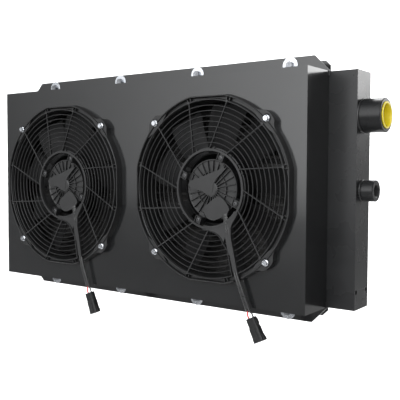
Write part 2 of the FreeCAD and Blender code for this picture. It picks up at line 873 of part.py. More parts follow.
def spoke(angle):
    """A straight bar from the hub ring to the outer ring, swept round by a few degrees."""
    ends = []
    for radius, turn in ((mm("hub_ring_radius"), angle),
                         (mm("outer_ring_radius"), angle + mm("spoke_sweep"))):
        turn = math.radians(turn)
        ends.append(Vector(radius * math.sin(turn), 0, radius * math.cos(turn)))
    aside = (ends[1] - ends[0]).cross(Vector(0, 1, 0)).normalize() * mm("spoke_width")
    hub_front = -mm("guard_hub_front") - 0.1
    rim_front = -mm("guard_rim_front") + 0.2
    seat = Vector(0, -mm("ring_seat"), 0)
    before_seat = ends[0] + (ends[1] - ends[0]) * 0.97
    corners = [
        ends[0] + Vector(0, hub_front, 0), ends[1] + Vector(0, rim_front, 0),
        ends[1] + seat, before_seat + seat, ends[0] + Vector(0, hub_front + 3.9, 0),
    ]
    corners = [corner - aside / 2 for corner in corners]
    return Part.Face(Part.makePolygon(corners + corners[:1])).extrude(aside)


def motor_boss(x, z):
    """A square block that reaches from the hub ring in to one motor screw."""
    width = mm("motor_boss_width")
    radius = math.hypot(x, z)
    length = mm("hub_ring_radius") - radius + width / 2
    block = Part.makeBox(width, mm("motor_boss_front") + mm("hub_ring_back"), length)
    block.translate(Vector(-width / 2, -mm("motor_boss_front"), radius - width / 2))
    block.rotate(Vector(), Vector(0, 1, 0), math.degrees(math.atan2(x, z)))
    return block


def trough_block(start, end, width, extra, forward, backward, lead=0):
    """A straight block along a run of cable, lengthened by lead inwards and extra outwards."""
    a, b = (Vector(x, y, z) for x, z, y in (start, end))
    along = (b - a).normalize()
    aside = along.cross(Vector(0, 1, 0)).normalize()
    depth = aside.cross(along).normalize()
    if depth.y < 0:
        depth = depth * -1
    length = (b - a).Length + extra + lead
    base = a - along * lead - aside * (width / 2) - depth * forward
    corners = [base, base + aside * width, base + aside * width + depth * (forward + backward),
               base + depth * (forward + backward), base]
    return Part.Face(Part.makePolygon(corners)).extrude(along * length)


# ---------------------------------------------------------------- motor


def build_rear_cover(side, x):
    """The ribbed end plate that faces the guard, with four ears for the motor screws."""
    cover = new_body(f"{side}_motor_rear_cover", x=x, y=PLATE_FRONT)
    front, back = dim("cover_front"), dim("cover_back")
    pad(cover, "y", front, back, lambda s: circle(s, 0, 0, dim("cover_radius")))
    boss = dim("cover_boss_radius")
    pad(cover, "y", -0.5, front, lambda s: circle(s, 0, 0, boss))
    rib = pad(cover, "y", dim("cover_rib_front"), front,
              lambda s: rectangle(s, -0.8, 0.8, boss - 1, dim("cover_radius") - 2))
    repeat_round(cover, rib, "cover_ribs")

    def radial_block(sketch, x, z, inner, outer, width):
        """A rectangle on the line from the motor's centre through one point."""
        length = math.hypot(x, z)
        out_x, out_z = x / length, z / length
        half = width / 2
        polygon(sketch, [
            (out_x * inner + out_z * half, out_z * inner - out_x * half),
            (out_x * outer + out_z * half, out_z * outer - out_x * half),
            (out_x * outer - out_z * half, out_z * outer + out_x * half),
            (out_x * inner - out_z * half, out_z * inner + out_x * half),
        ])

    def ears(sketch):
        for ear_x, ear_z in motor_screw_spots():
            radial_block(sketch, ear_x, ear_z, 46.0, 64.5, mm("motor_boss_width"))

    pad(cover, "y", dim("hub_ring_back"), back, ears)

    def ear_holes(sketch):
        for ear_x, ear_z in motor_screw_spots():
            circle(sketch, ear_x, ear_z, MOTOR_SCREW_RADIUS)

    pocket(cover, "y", 0, back, ear_holes)
    outlet_x, outlet_z, _ = FAN_SIDES[side]["cable"][0]
    pad(cover, "y", -1.0, back, lambda s: radial_block(s, outlet_x, outlet_z, 18.0, 55.5, 16.0))
    seat = dim("bearing_width")
    pocket(cover, "y", back - seat, back, lambda s: circle(s, 0, 0, dim("bearing_radius")))


def build_motor(side, x):
    """The fixed half of the motor: drawn case, magnets, brushes and bearings."""
    case = new_body(f"{side}_motor_case", x=x, y=PLATE_FRONT)
    radius, wall = dim("case_radius"), dim("case_wall")
    back, front = dim("cover_back"), dim("case_front")
    nose = dim("bearing_radius")
    revolve(case, [
        (radius - wall, back), (radius, back), (radius, front), (nose + 3, front),
        (nose + 3, front + 1), (nose, front + 1), (nose, front - 4), (nose + 3, front - 4),
        (nose + 3, front - wall), (radius - wall, front - wall),
    ])

    start = (back + front) / 2 - dim("magnet_length") / 2
    magnets = []
    ring = tube_y(mm("magnet_radius"), mm("magnet_radius") - mm("magnet_thickness"),
                  start.value, start.value + mm("magnet_length"))
    reach = mm("magnet_radius") + 5
    for quarter in range(4):
        wedge = Part.makeCylinder(reach, 60, Vector(), Vector(0, 1, 0), 76)
        wedge.rotate(Vector(), Vector(0, 1, 0), 90 * quarter)
        magnets.append(ring.common(wedge))
    node = shape_node(f"{side}_motor_magnets", Part.makeCompound(magnets))
    place(node, x, PLATE_FRONT, 0)

    brush_y = back.value + 1.5
    inner = mm("commutator_radius") + 0.15
    width = mm("brush_width")
    brushes = []
    for sign in (-1, 1):
        low = inner if sign > 0 else -inner - mm("brush_length")
        brush = Part.makeBox(mm("brush_length"), width, width, Vector(low, brush_y, -width / 2))
        brushes.append(brush.cut(Part.makeCylinder(inner, 80, Vector(), Vector(0, 1, 0))))
    node = shape_node(f"{side}_motor_brushes", Part.makeCompound(brushes))
    place(node, x, PLATE_FRONT, 0)

    rear = cover_bearing_start()
    fore = mm("case_front") - 4
    bearings = [
        tube_y(mm("bearing_radius"), mm("shaft_radius") + mm("shaft_gap"), y, y + mm("bearing_width"))
        for y in (rear, fore)
    ]
    node = shape_node(f"{side}_motor_bearings", Part.makeCompound(bearings))
    place(node, x, PLATE_FRONT, 0)


def cover_bearing_start():
    return mm("cover_back") - mm("bearing_width")


def build_rotor(side, x):
    """Everything that turns: shaft, armature, commutator, impeller and its nut."""
    axis = Vector(0, 1, 0)
    radius = mm("shaft_radius")
    start = cover_bearing_start() + 0.5
    end = mm("hub_front") + 4 + mm("nut_height") + 2
    shaft = new_body(f"{side}_fan_shaft", x=x, y=PLATE_FRONT)
    pad(shaft, "y", start, end, lambda s: circle(s, 0, 0, dim("shaft_radius")))

    fit = radius
    low = mm("case_front") - 4 - 3 - mm("armature_length")
    core = tube_y(mm("armature_radius"), fit, low, low + mm("armature_length"))
    slots = int(mm("armature_slots"))
    for i in range(slots):
        slot = Part.makeBox(4.5, mm("armature_length"), 14, Vector(-2.25, low, mm("armature_radius") - 12))
        slot.rotate(Vector(), axis, 360 / slots * i)
        core = core.cut(slot)
    node = shape_node(f"{side}_motor_armature", core)
    place(node, x, PLATE_FRONT, 0)

    low = mm("cover_back") + 0.8
    node = shape_node(f"{side}_motor_commutator",
                      tube_y(mm("commutator_radius"), fit, low, low + mm("commutator_length")))
    place(node, x, PLATE_FRONT, 0)

    node = shape_node(f"{side}_impeller", impeller_shape(fit))
    place(node, x, PLATE_FRONT, 0)

    hub_nut = nut(dim("nut_flats"), dim("nut_height"), dim("shaft_radius"))
    copies(f"{side}_impeller_nut", hub_nut, [(x.value, PLATE_FRONT.value + mm("hub_front") + 4, 0)])


def impeller_shape(bore):
    """A cup over the motor with twisted blades that lean forward in the direction of rotation."""
    axis = Vector(0, 1, 0)
    radius, wall = mm("hub_radius"), mm("hub_wall")
    back, front = mm("hub_back"), mm("hub_front")
    cup = Part.makeCylinder(radius, front - back, Vector(0, back, 0), axis)
    cup = cup.cut(Part.makeCylinder(radius - wall, front - back - 3, Vector(0, back, 0), axis))
    collar = Part.makeCylinder(11, front + 4 - 46.5, Vector(0, 46.5, 0), axis)
    cup = cup.fuse(collar)
    blades = []
    count = int(mm("blades"))
    blade = impeller_blade()
    blade = blade.common(Part.makeCylinder(mm("impeller_radius"), 100, Vector(0, -20, 0), axis))
    blade = blade.cut(Part.makeCylinder(radius - wall / 2, 100, Vector(0, -20, 0), axis))
    for i in range(count):
        turned = blade.copy()
        turned.rotate(Vector(), axis, 360 / count * i)
        blades.append(turned)
    whole = cup.multiFuse(blades)
    whole = whole.cut(Part.makeCylinder(bore, 100, Vector(0, -20, 0), axis))
    return whole.Solids[0]


def impeller_blade():
    """One blade, lofted between a steep root section and a flatter, leading tip section."""
    sections = []
    middle = (mm("hub_back") + mm("hub_front")) / 2 - 1
    for radius, chord, pitch, lead in ((54, 42, 48, 0), (105, 54, 34, 8), (154, 64, 25, 20)):
        angle = math.radians(pitch)
        along = Vector(math.cos(angle), math.sin(angle), 0)
        across = Vector(-math.sin(angle), math.cos(angle), 0) * (mm("blade_thickness") / 2)
        centre = Vector(lead, middle, radius)
        tips = [centre - along * (chord / 2), centre + along * (chord / 2)]
        corners = [tips[0] - across, tips[1] - across, tips[1] + across, tips[0] + across]
        sections.append(Part.makePolygon(corners + corners[:1]))
    return Part.makeLoft(sections, True, True)


# ---------------------------------------------------------------- cable and connector


def smooth_path(label, points):
    """Straight runs joined by tangent arcs, each as large as its two runs allow."""
    edges = []
    start = points[0]
    for before, corner, after in zip(points, points[1:], points[2:]):
        into, away = (corner - before), (after - corner)
        turn = into.getAngle(away)
        set_back = 0.45 * min(into.Length, away.Length)
        print(f"{label} radius {set_back / math.tan(turn / 2):.1f}")
        into_unit, away_unit = into.normalize(), away.normalize()
        first, last = corner - into_unit * set_back, corner + away_unit * set_back
        radius = set_back / math.tan(turn / 2)
        bisector = (away_unit - into_unit).normalize()
        centre = corner + bisector * (radius / math.cos(turn / 2))
        middle = centre - bisector * radius
        edges.append(Part.LineSegment(start, first).toShape())
        edges.append(Part.Arc(first, middle, last).toShape())
        start = last
    edges.append(Part.LineSegment(start, points[-1]).toShape())
    return Part.Wire(edges)


def build_cord(label, points, diameter):
    """A round cord along a smooth path."""
    path = smooth_path(label, points)
    spine = doc.addObject("Part::Feature", f"{label}_path")
    spine.Shape = path
    section = doc.addObject("Part::Circle", f"{label}_section")
    bind(section, "Radius", dim(diameter) / 2)
    heading = (points[1] - points[0]).normalize()
    section.Placement = Placement(points[0], Rotation(Vector(0, 0, 1), heading))
    cord = doc.addObject("Part::Sweep", label)
    cord.Sections = [section]
    cord.Spine = (spine, [f"Edge{i + 1}" for i in range(len(path.Edges))])
    cord.Solid = True
    cord.Frenet = False
    keep(label, cord)
    doc.recompute()
    expected = math.pi * (mm(diameter) / 2) ** 2 * path.Length
    print(f"{label} length {path.Length:.1f}, volume {cord.Shape.Volume / expected:.4f} of its section")


def build_cable(side, centre_x):
    route = FAN_SIDES[side]["cable"]
    front = PLATE_FRONT.value
    points = [Vector(centre_x + x, front + y, z) for x, z, y in route]
    build_cord(f"{side}_fan_cable", points, "cable_diameter")
    x, z, y = FAN_SIDES[side]["connector"]
    mouth = Vector(centre_x + x, front + y, z)
    turn = math.radians(FAN_SIDES[side]["tilt"])
    along = Vector(math.sin(turn), 0, -math.cos(turn))
    aside = Vector(math.cos(turn), 0, math.sin(turn))
    end = points[-1]
    onward = (end - points[-2]).normalize()
    across = Vector(0, 1, 0).cross(onward).normalize()
    if across.dot(aside) < 0:
        across = across * -1
    for colour, shift in (("red", -1), ("black", 1)):
        leave = end + across * (1.7 * shift)
        enter = mouth + aside * (4.6 * shift)
        bend_one = leave + onward * 3.2
        bend_two = enter - along * 3.0
        build_cord(f"{side}_{colour}_lead", [leave, bend_one, bend_two, enter], "lead_diameter")


def build_grommet(side, centre_x):
    """The rubber sleeve where the cable leaves the motor, on the line of its first run."""
    route = FAN_SIDES[side]["cable"]
    (x0, z0, y0), (x1, z1, y1) = route[0], route[1]
    a = Vector(centre_x.value + x0, PLATE_FRONT.value + y0, z0)
    b = Vector(centre_x.value + x1, PLATE_FRONT.value + y1, z1)
    heading = (b - a).normalize()
    length = 22.0
    sleeve = Part.makeCone(5.2, 4.2, length, a - heading * length, heading)
    pad_face = PLATE_FRONT.value - 1
    below = Part.makeBox(80, 20, 80, Vector(a.x - 40, pad_face, a.z - 20))
    shape_node(f"{side}_cable_grommet", sleeve.cut(below))


def build_connector(side, centre_x):
    """A two-way sealed plug that hangs from the leads: lock sleeve above, socket body below."""
    x, z, y = FAN_SIDES[side]["connector"]
    tilt = Rotation(Vector(0, 1, 0), -FAN_SIDES[side]["tilt"])
    width, depth = dim("connector_width") / 2, dim("connector_depth") / 2
    length, lock = dim("connector_length"), dim("connector_lock_length")

    lock_body = new_body(f"{side}_connector_lock")
    pad(lock_body, "z", -lock, 0,
        lambda s: rectangle(s, 0.6 - width, width - 0.6, 0.6 - depth, depth - 0.6))
    pad(lock_body, "z", -lock + 4, -4, lambda s: rectangle(s, width - 0.6, width + 1.4, -3, 3))

    shell = new_body(f"{side}_connector_body")
    pad(shell, "z", -length, -lock, lambda s: rectangle(s, -width, width, -depth, depth))
    pad(shell, "z", -length, -length + 9, lambda s: rectangle(s, width, width + 2.6, -4, 4))
    pocket(shell, "z", -length, -length + dim("socket_depth"),
           lambda s: rectangle(s, 2.5 - width, width - 2.5, 2.5 - depth, depth - 2.5))

    for body in (lock_body, shell):
        body.Placement = Placement(Vector(), tilt)
        place(body, centre_x + x, PLATE_FRONT + y, z)
    doc.recompute()


# ---------------------------------------------------------------- the whole cooler


def build_fan(side):
    sign = FAN_SIDES[side]["sign"]
    x = FAN_X * sign
    housing, notch = build_housing(side, x)
    nodes.remove(housing)
    housing.Label = f"{side}_housing_blank"
    place(notch, x, PLATE_FRONT, 0)
    keep(f"{side}_fan_housing", cut(housing, notch))
    build_guard(side, x)
    build_rear_cover(side, x)
    build_motor(side, x)
    build_rotor(side, x)
    build_grommet(side, x)
    build_cable(side, x.value)
    build_connector(side, x)


build_shroud()
build_channel("top_channel", 1)
build_channel("bottom_channel", -1)
build_core()
build_tank("right_tank", 1, 1, True)
build_tank("left_tank", -1, -1, False)
build_boss("inlet_boss", 1, dim("port_height"), dim("port_radius"), dim("port_bore_radius"),
           dim("port_length"))
build_boss("outlet_boss", -1, -dim("port_height"), dim("port_radius"), dim("port_bore_radius"),
           dim("port_length"))
build_boss("sensor_boss", 1, 0, dim("sensor_radius"), dim("sensor_bore_radius"), dim("sensor_length"))
build_plug("inlet_plug", 1, dim("port_height"))
build_plug("outlet_plug", -1, -dim("port_height"))
build_shroud_fasteners()
build_fan_fasteners()
build_motor_screws()
for fan_side in FAN_SIDES:
    build_fan(fan_side)
doc.recompute()

for item in doc.Objects:
    if "Invalid" in item.State or "Error" in item.State:
        raise RuntimeError(f"{item.Label} failed: {item.State}")
for node in nodes:
    if node.Shape.isNull() or not node.Shape.isValid() or not node.Shape.Solids:
        raise RuntimeError(f"{node.Label} has no valid solid")

os.makedirs("parts", exist_ok=True)
for node in nodes:
    node.Shape.exportStep(os.path.join("parts", f"{node.Label}.step"))
    print(f"{node.Label}: {len(node.Shape.Solids)} solid(s), {node.Shape.Volume / 1000:.2f} cm3")
print(f"{len(nodes)} nodes")
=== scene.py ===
"""Looks for the hydraulic oil cooler: studio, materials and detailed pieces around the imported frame.

Lengths in the helpers are millimetres and become metres when a mesh is made. Fan pieces are drawn about
the fan's own centre, with Y measured from the face of the shroud's plate.
"""

import math

import bmesh
import bpy
from mathutils import Matrix, Vector


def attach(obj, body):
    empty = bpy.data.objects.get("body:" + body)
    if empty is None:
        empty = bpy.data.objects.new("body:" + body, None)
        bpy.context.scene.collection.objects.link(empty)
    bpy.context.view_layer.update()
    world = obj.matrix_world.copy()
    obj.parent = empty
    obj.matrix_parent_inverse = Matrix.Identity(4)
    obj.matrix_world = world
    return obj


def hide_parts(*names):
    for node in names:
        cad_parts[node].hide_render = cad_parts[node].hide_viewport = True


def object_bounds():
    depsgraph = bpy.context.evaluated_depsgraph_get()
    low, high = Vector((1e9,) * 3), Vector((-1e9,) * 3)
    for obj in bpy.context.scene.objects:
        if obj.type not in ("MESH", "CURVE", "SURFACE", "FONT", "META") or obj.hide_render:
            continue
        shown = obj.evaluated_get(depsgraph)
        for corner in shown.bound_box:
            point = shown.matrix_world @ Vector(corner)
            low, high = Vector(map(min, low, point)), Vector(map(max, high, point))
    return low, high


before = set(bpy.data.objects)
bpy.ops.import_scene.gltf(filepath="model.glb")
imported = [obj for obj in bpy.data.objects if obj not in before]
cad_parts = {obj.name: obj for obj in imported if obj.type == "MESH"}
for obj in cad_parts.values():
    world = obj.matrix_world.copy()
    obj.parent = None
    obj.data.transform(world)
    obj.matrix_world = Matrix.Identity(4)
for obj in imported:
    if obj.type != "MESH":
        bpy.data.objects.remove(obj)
cad_low, cad_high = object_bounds()

PLATE_Y = -133.0
FAN_X = 186.5
TANK_Y = -27.5
SCREW_REACH = 118.0
BOLT_PITCH = 199.0
BOLT_Z = 214.0
BOLT_Y = -56.5
MOTOR_SCREW_RADIUS = 59.0
MOTOR_SCREW_ANGLES = [23.5 + 90 * quarter for quarter in range(4)]
CORNERS = ((-1, -1), (-1, 1), (1, -1), (1, 1))
FRAME_BODY = "cooler"
LINE_SAMPLES = 10
FLOOR_DROP = 0.4
GLOW_DIRECTION = (0.1093, -0.9714, 0.2107)
GLOW_LEVEL = 6.2
ROOM_LEVEL = 0.18

# ------------------------------------------------------------------ camera and studio


def place_camera():
    data = bpy.data.cameras.new("camera")
    data.lens = 59.71
    data.sensor_width = 36.0
    data.clip_end = 100.0
    camera = bpy.data.objects.new("camera", data)
    bpy.context.scene.collection.objects.link(camera)
    right = Vector((0.80719, 0.59028, 0.00349))
    up = Vector((0.03238, -0.03837, -0.99874)) * -1
    back = right.cross(up)
    turn = Matrix((right, up, back)).transposed()
    camera.matrix_world = Matrix.Translation((0.8556, -1.0807, 0.0389)) @ turn.to_4x4()
    bpy.context.scene.camera = camera


def area_light(name, at, towards, size, power):
    data = bpy.data.lights.new(name, "AREA")
    data.shape = "RECTANGLE"
    data.size, data.size_y = size
    data.energy = power
    light = bpy.data.objects.new(name, data)
    light.location = at
    light.rotation_mode = "QUATERNION"
    light.rotation_quaternion = (Vector(towards) - Vector(at)).to_track_quat("-Z", "Y")
    bpy.context.scene.collection.objects.link(light)


def fade_node(nodes, links, source, start, end, low, high):
    """A smooth change from low to high while the source goes from start to end."""
    fade = nodes.new("ShaderNodeMapRange")
    fade.interpolation_type = "SMOOTHSTEP"
    for key, value in (("From Min", start), ("From Max", end), ("To Min", low), ("To Max", high)):
        fade.inputs[key].default_value = value
    links.new(source, fade.inputs["Value"])
    return fade.outputs["Result"]


def world_light():
    """A pale room with one broad glow in front, which fades smoothly towards the left and the floor."""
    world = bpy.data.worlds.new("studio")
    world.use_nodes = True
    nodes, links = world.node_tree.nodes, world.node_tree.links
    shade = nodes["Background"]
    where = nodes.new("ShaderNodeTexCoord")
    aim = nodes.new("ShaderNodeVectorMath")
    aim.operation = "DOT_PRODUCT"
    aim.inputs[1].default_value = GLOW_DIRECTION
    links.new(where.outputs["Generated"], aim.inputs[0])
    angle = nodes.new("ShaderNodeMath")
    angle.operation = "ARCCOSINE"
    links.new(aim.outputs["Value"], angle.inputs[0])
    level = fade_node(nodes, links, angle.outputs["Value"], math.radians(68), math.radians(12),
                      ROOM_LEVEL, GLOW_LEVEL)
    links.new(level, shade.inputs["Strength"])
    shade.inputs["Color"].default_value = (0.98, 0.99, 1.0, 1)
    bpy.context.scene.world = world


def studio():
    area_light("rim", (1.45, 2.6, 1.0), (0.46, 0.0, 0.12), (2.0, 1.2), 44)
    area_light("back", (-1.6, 2.0, 2.6), (-1.2, 2.6, -0.7), (3.0, 2.0), 170)
    world_light()
    scene = bpy.context.scene
    scene.view_settings.view_transform = "Standard"

    floor = cad_low.z - FLOOR_DROP
    profile = [(-9.0, 0.0), (3.2, 0.0)]
    profile += [(3.2 + 1.5 * math.sin(a), 1.5 - 1.5 * math.cos(a)) for a in
                [math.radians(9 * i) for i in range(1, 11)]]
    profile += [(4.7, 7.0)]
    verts = [(x, y, floor + z) for y, z in profile for x in (-14.0, 14.0)]
    faces = [(2 * i, 2 * i + 1, 2 * i + 3, 2 * i + 2) for i in range(len(profile) - 1)]
    mesh = bpy.data.meshes.new("studio_sweep")
    mesh.from_pydata(verts, [], faces)
    for face in mesh.polygons:
        face.use_smooth = True
    sweep = bpy.data.objects.new("studio_sweep", mesh)
    bpy.context.scene.collection.objects.link(sweep)
    mat = bpy.data.materials.new("studio_paper")
    mat.use_nodes = True
    shader = mat.node_tree.nodes["Principled BSDF"]
    shader.inputs["Roughness"].default_value = 0.9
    nodes, links = mat.node_tree.nodes, mat.node_tree.links
    # Painted shade on the sweep: the paper is pale where the camera sees it and fades to dark grey towards +X
    # and towards the front (-Y), so the cooler's faces reflect darker paper there.
    place = nodes.new("ShaderNodeTexCoord")
    painted_shade_fades = []
    for direction, start, end in (((0.9433, 0.3320, 0.0), 0.53, 1.5), ((0.0, -1.0, 0.0), 0.3, 1.3)):
        along = nodes.new("ShaderNodeVectorMath")
        along.operation = "DOT_PRODUCT"
        along.inputs[1].default_value = direction
        links.new(place.outputs["Object"], along.inputs[0])
        painted_shade_fades.append(fade_node(nodes, links, along.outputs["Value"], start, end, 1.0, 0.0))
    both = nodes.new("ShaderNodeMath")
    both.operation = "MULTIPLY"
    links.new(painted_shade_fades[0], both.inputs[0])
    links.new(painted_shade_fades[1], both.inputs[1])
    painted_shade_mix = nodes.new("ShaderNodeMix")
    painted_shade_mix.data_type = "RGBA"
    painted_shade_mix.inputs["A"].default_value = (0.24, 0.24, 0.24, 1)
    painted_shade_mix.inputs["B"].default_value = (0.76, 0.76, 0.76, 1)
    links.new(both.outputs["Value"], painted_shade_mix.inputs["Factor"])
    links.new(painted_shade_mix.outputs["Result"], shader.inputs["Base Color"])
    mesh.materials.append(mat)


# ------------------------------------------------------------------ materials


class Surface:
    """A material built from a shader and a few noise layers in object space."""

    def __init__(self, name, colour, roughness, metallic=0.0):
        self.material = bpy.data.materials.new(name)
        self.material.use_nodes = True
        self.tree = self.material.node_tree
        self.shader = self.tree.nodes["Principled BSDF"]
        self.shader.inputs["Base Color"].default_value = (*colour, 1)
        self.shader.inputs["Roughness"].default_value = roughness
        self.shader.inputs["Metallic"].default_value = metallic
        self.colour = colour
        self.roughness = roughness
        self.where = self.node("ShaderNodeTexCoord").outputs["Object"]
        self.bumps = None

    def node(self, kind, **settings):
        made = self.tree.nodes.new(kind)
        for key, value in settings.items():
            setattr(made, key, value)
        return made

    def link(self, source, target):
        self.tree.links.new(source, target)

    def noise(self, scale, detail=2.0, stretch=(1, 1, 1)):
        mapping = self.node("ShaderNodeMapping")
        mapping.inputs["Scale"].default_value = stretch
        self.link(self.where, mapping.inputs["Vector"])
        texture = self.node("ShaderNodeTexNoise")
        texture.inputs["Scale"].default_value = scale
        texture.inputs["Detail"].default_value = detail
        self.link(mapping.outputs["Vector"], texture.inputs["Vector"])
        return texture.outputs["Fac"]

    def ramp(self, source, low, high, start=0.3, end=0.7):
        """Turns 0..1 noise into a value or a colour between two ends."""
        ramp = self.node("ShaderNodeValToRGB")
        if not hasattr(low, "__len__"):
            low, high = (low,) * 3, (high,) * 3
        for element, position, colour in zip(ramp.color_ramp.elements, (start, end), (low, high)):
            element.position = position
            element.color = (*colour, 1)
        self.link(source, ramp.inputs["Fac"])
        return ramp.outputs["Color"]

    def vary_colour(self, other, scale, start=0.3, end=0.7):
        self.link(self.ramp(self.noise(scale, 4), self.colour, other, start, end),
                  self.shader.inputs["Base Color"])
        return self

    def vary_roughness(self, spread, scale):
        self.link(self.ramp(self.noise(scale, 4), self.roughness - spread,
                            self.roughness + spread), self.shader.inputs["Roughness"])
        return self

    def bump(self, scale, strength, distance=0.0002, detail=2.0, stretch=(1, 1, 1)):
        bump = self.node("ShaderNodeBump")
        bump.inputs["Strength"].default_value = strength
        bump.inputs["Distance"].default_value = distance
        self.link(self.noise(scale, detail, stretch), bump.inputs["Height"])
        if self.bumps:
            self.link(self.bumps, bump.inputs["Normal"])
        self.bumps = bump.outputs["Normal"]
        self.link(self.bumps, self.shader.inputs["Normal"])
        return self


def make_surfaces():
    s = {}

    def add(name, *values):
        s[name] = Surface(name, *values)
        return s[name]

    add("black_paint", (0.007, 0.0072, 0.0075), 0.17) \
        .vary_colour((0.009, 0.0092, 0.0095), 7).vary_roughness(0.02, 16) \
        .bump(420, 0.05).bump(2600, 0.04, 0.00005)
    add("painted_aluminium", (0.010, 0.0102, 0.0106), 0.28) \
        .vary_colour((0.014, 0.0142, 0.0146), 9).vary_roughness(0.035, 18) \
        .bump(380, 0.06).bump(2400, 0.04, 0.00005)
    add("core_paint", (0.012, 0.012, 0.0125), 0.5) \
        .vary_colour((0.022, 0.021, 0.02), 60).vary_roughness(0.08, 120) \
        .bump(900, 0.15)
    add("weld_paint", (0.012, 0.012, 0.0125), 0.42) \
        .vary_roughness(0.06, 300).bump(500, 0.5, 0.0005)
    add("black_plastic", (0.007, 0.007, 0.0072), 0.42) \
        .vary_colour((0.010, 0.010, 0.0103), 30).vary_roughness(0.05, 60) \
        .bump(3200, 0.12, 0.00006).bump(150, 0.03)
    add("guard_plastic", (0.009, 0.009, 0.0093), 0.42) \
        .vary_colour((0.012, 0.012, 0.0123), 40).vary_roughness(0.05, 90) \
        .bump(3200, 0.1, 0.00006)
    add("cover_plastic", (0.008, 0.008, 0.0082), 0.46) \
        .vary_colour((0.012, 0.012, 0.0123), 60).vary_roughness(0.06, 90) \
        .bump(2800, 0.15, 0.00008)
    add("impeller_plastic", (0.006, 0.006, 0.0062), 0.55) \
        .vary_roughness(0.05, 70).bump(1800, 0.08, 0.00006)
    add("zinc_steel", (0.50, 0.51, 0.53), 0.24, 1.0) \
        .vary_colour((0.40, 0.42, 0.45), 260).vary_roughness(0.08, 500) \
        .bump(1600, 0.15, 0.00005)
    add("yellow_plastic", (0.60, 0.48, 0.012), 0.38) \
        .vary_colour((0.52, 0.42, 0.012), 90).vary_roughness(0.05, 120).bump(900, 0.08)
    s["yellow_plastic"].shader.inputs["Subsurface Weight"].default_value = 0.15
    s["yellow_plastic"].shader.inputs["Subsurface Radius"].default_value = (0.004, 0.003, 0.001)
    add("motor_steel", (0.36, 0.36, 0.37), 0.34, 1.0) \
        .vary_roughness(0.07, 200).bump(700, 0.1, 0.0001, 2, (1, 8, 1))
    add("magnet_ceramic", (0.05, 0.05, 0.052), 0.6) \
        .vary_colour((0.07, 0.07, 0.07), 200).bump(1500, 0.2)
    add("brush_carbon", (0.03, 0.03, 0.03), 0.7) \
        .vary_colour((0.05, 0.048, 0.046), 900).bump(2500, 0.2)
    add("wound_iron", (0.25, 0.13, 0.06), 0.4, 0.8) \
        .vary_colour((0.12, 0.11, 0.1), 300, 0.4, 0.6).bump(1400, 0.3, 0.0003, 2, (1, 6, 1))
    add("commutator_brass", (0.6, 0.33, 0.16), 0.3, 1.0) \
        .vary_roughness(0.08, 400).bump(900, 0.2, 0.0001, 2, (1, 12, 1))
    add("black_rubber", (0.014, 0.014, 0.014), 0.55) \
        .vary_roughness(0.06, 300).bump(2000, 0.25, 0.0001)
    add("cable_jacket", (0.008, 0.008, 0.0083), 0.3) \
        .vary_colour((0.012, 0.012, 0.012), 120).vary_roughness(0.06, 260) \
        .bump(1500, 0.15, 0.00008)
    add("red_insulation", (0.5, 0.012, 0.012), 0.35) \
        .vary_colour((0.42, 0.01, 0.012), 300).vary_roughness(0.05, 400).bump(1500, 0.1, 0.00005)
    add("black_insulation", (0.015, 0.015, 0.015), 0.35) \
        .vary_roughness(0.05, 400).bump(1500, 0.1, 0.00005)
    add("connector_plastic", (0.006, 0.006, 0.0063), 0.4) \
        .vary_colour((0.009, 0.009, 0.009), 150).vary_roughness(0.05, 300) \
        .bump(3000, 0.15, 0.00006)
    add("dark_hole", (0.006, 0.006, 0.006), 0.6).vary_roughness(0.05, 300).bump(900, 0.2)
    add("blackened_steel", (0.05, 0.05, 0.052), 0.45, 0.6) \
        .vary_roughness(0.07, 400).bump(1500, 0.15, 0.00006)
    # Painted shade: the shroud bolts are zinc like their washers, but get this darker copy of the zinc colour
    # to stand in for the shade on their heads.
    add("zinc_bolt_painted_shade", (0.22, 0.225, 0.235), 0.3, 1.0) \
        .vary_colour((0.11, 0.115, 0.125), 260).vary_roughness(0.08, 500) \
        .bump(1600, 0.15, 0.00005)
    for name, level in (("impeller_plastic", 0.12), ("core_paint", 0.3), ("black_plastic", 0.34),
                        ("guard_plastic", 0.34), ("cover_plastic", 0.38),
                        ("painted_aluminium", 0.2), ("cable_jacket", 0.35), ("connector_plastic", 0.3)):
        s[name].shader.inputs["Specular IOR Level"].default_value = level
    return s


# ------------------------------------------------------------------ mesh helpers


class Shape:
    """Vertices and faces in millimetres, which can be joined, moved and turned."""

    def __init__(self, verts=(), faces=()):
        self.verts = [Vector(v) for v in verts]
        self.faces = [tuple(f) for f in faces]

    def add(self, *others):
        for other in others:
            base = len(self.verts)
            self.verts += other.verts
            self.faces += [tuple(i + base for i in face) for face in other.faces]
        return self

    def moved(self, x=0, y=0, z=0):
        return Shape([v + Vector((x, y, z)) for v in self.verts], self.faces)

    def turned(self, degrees, axis="Y"):
        turn = Matrix.Rotation(math.radians(degrees), 3, axis)
        return Shape([turn @ v for v in self.verts], self.faces)

    def placed(self, matrix):
        return Shape([matrix @ v for v in self.verts], self.faces)


def ring_faces(rows, count, wrap_rows, wrap_count=True):
    """Quads between rows of points that run round something."""
    faces = []
    for i in range(rows if wrap_rows else rows - 1):
        for j in range(count if wrap_count else count - 1):
            a, b = i * count + j, i * count + (j + 1) % count
            c, d = ((i + 1) % rows) * count + (j + 1) % count, ((i + 1) % rows) * count + j
            faces.append((a, b, c, d))
    return faces


def loft_faces(rows, count):
    """The sides of a closed loft and the flat caps at its two ends."""
    first, last = range(count - 1, -1, -1), range((rows - 1) * count, rows * count)
    return ring_faces(rows, count, False) + [tuple(first), tuple(last)]


def soft_rectangle(width, height, cut):
    """A rectangle about the origin with its corners cut off by a share of the thinner side."""
    w, h = width / 2, height / 2
    c = min(w, h) * cut
    return [(-w, -h + c), (-w + c, -h), (w - c, -h), (w, -h + c),
            (w, h - c), (w - c, h), (-w + c, h), (-w, h - c)]


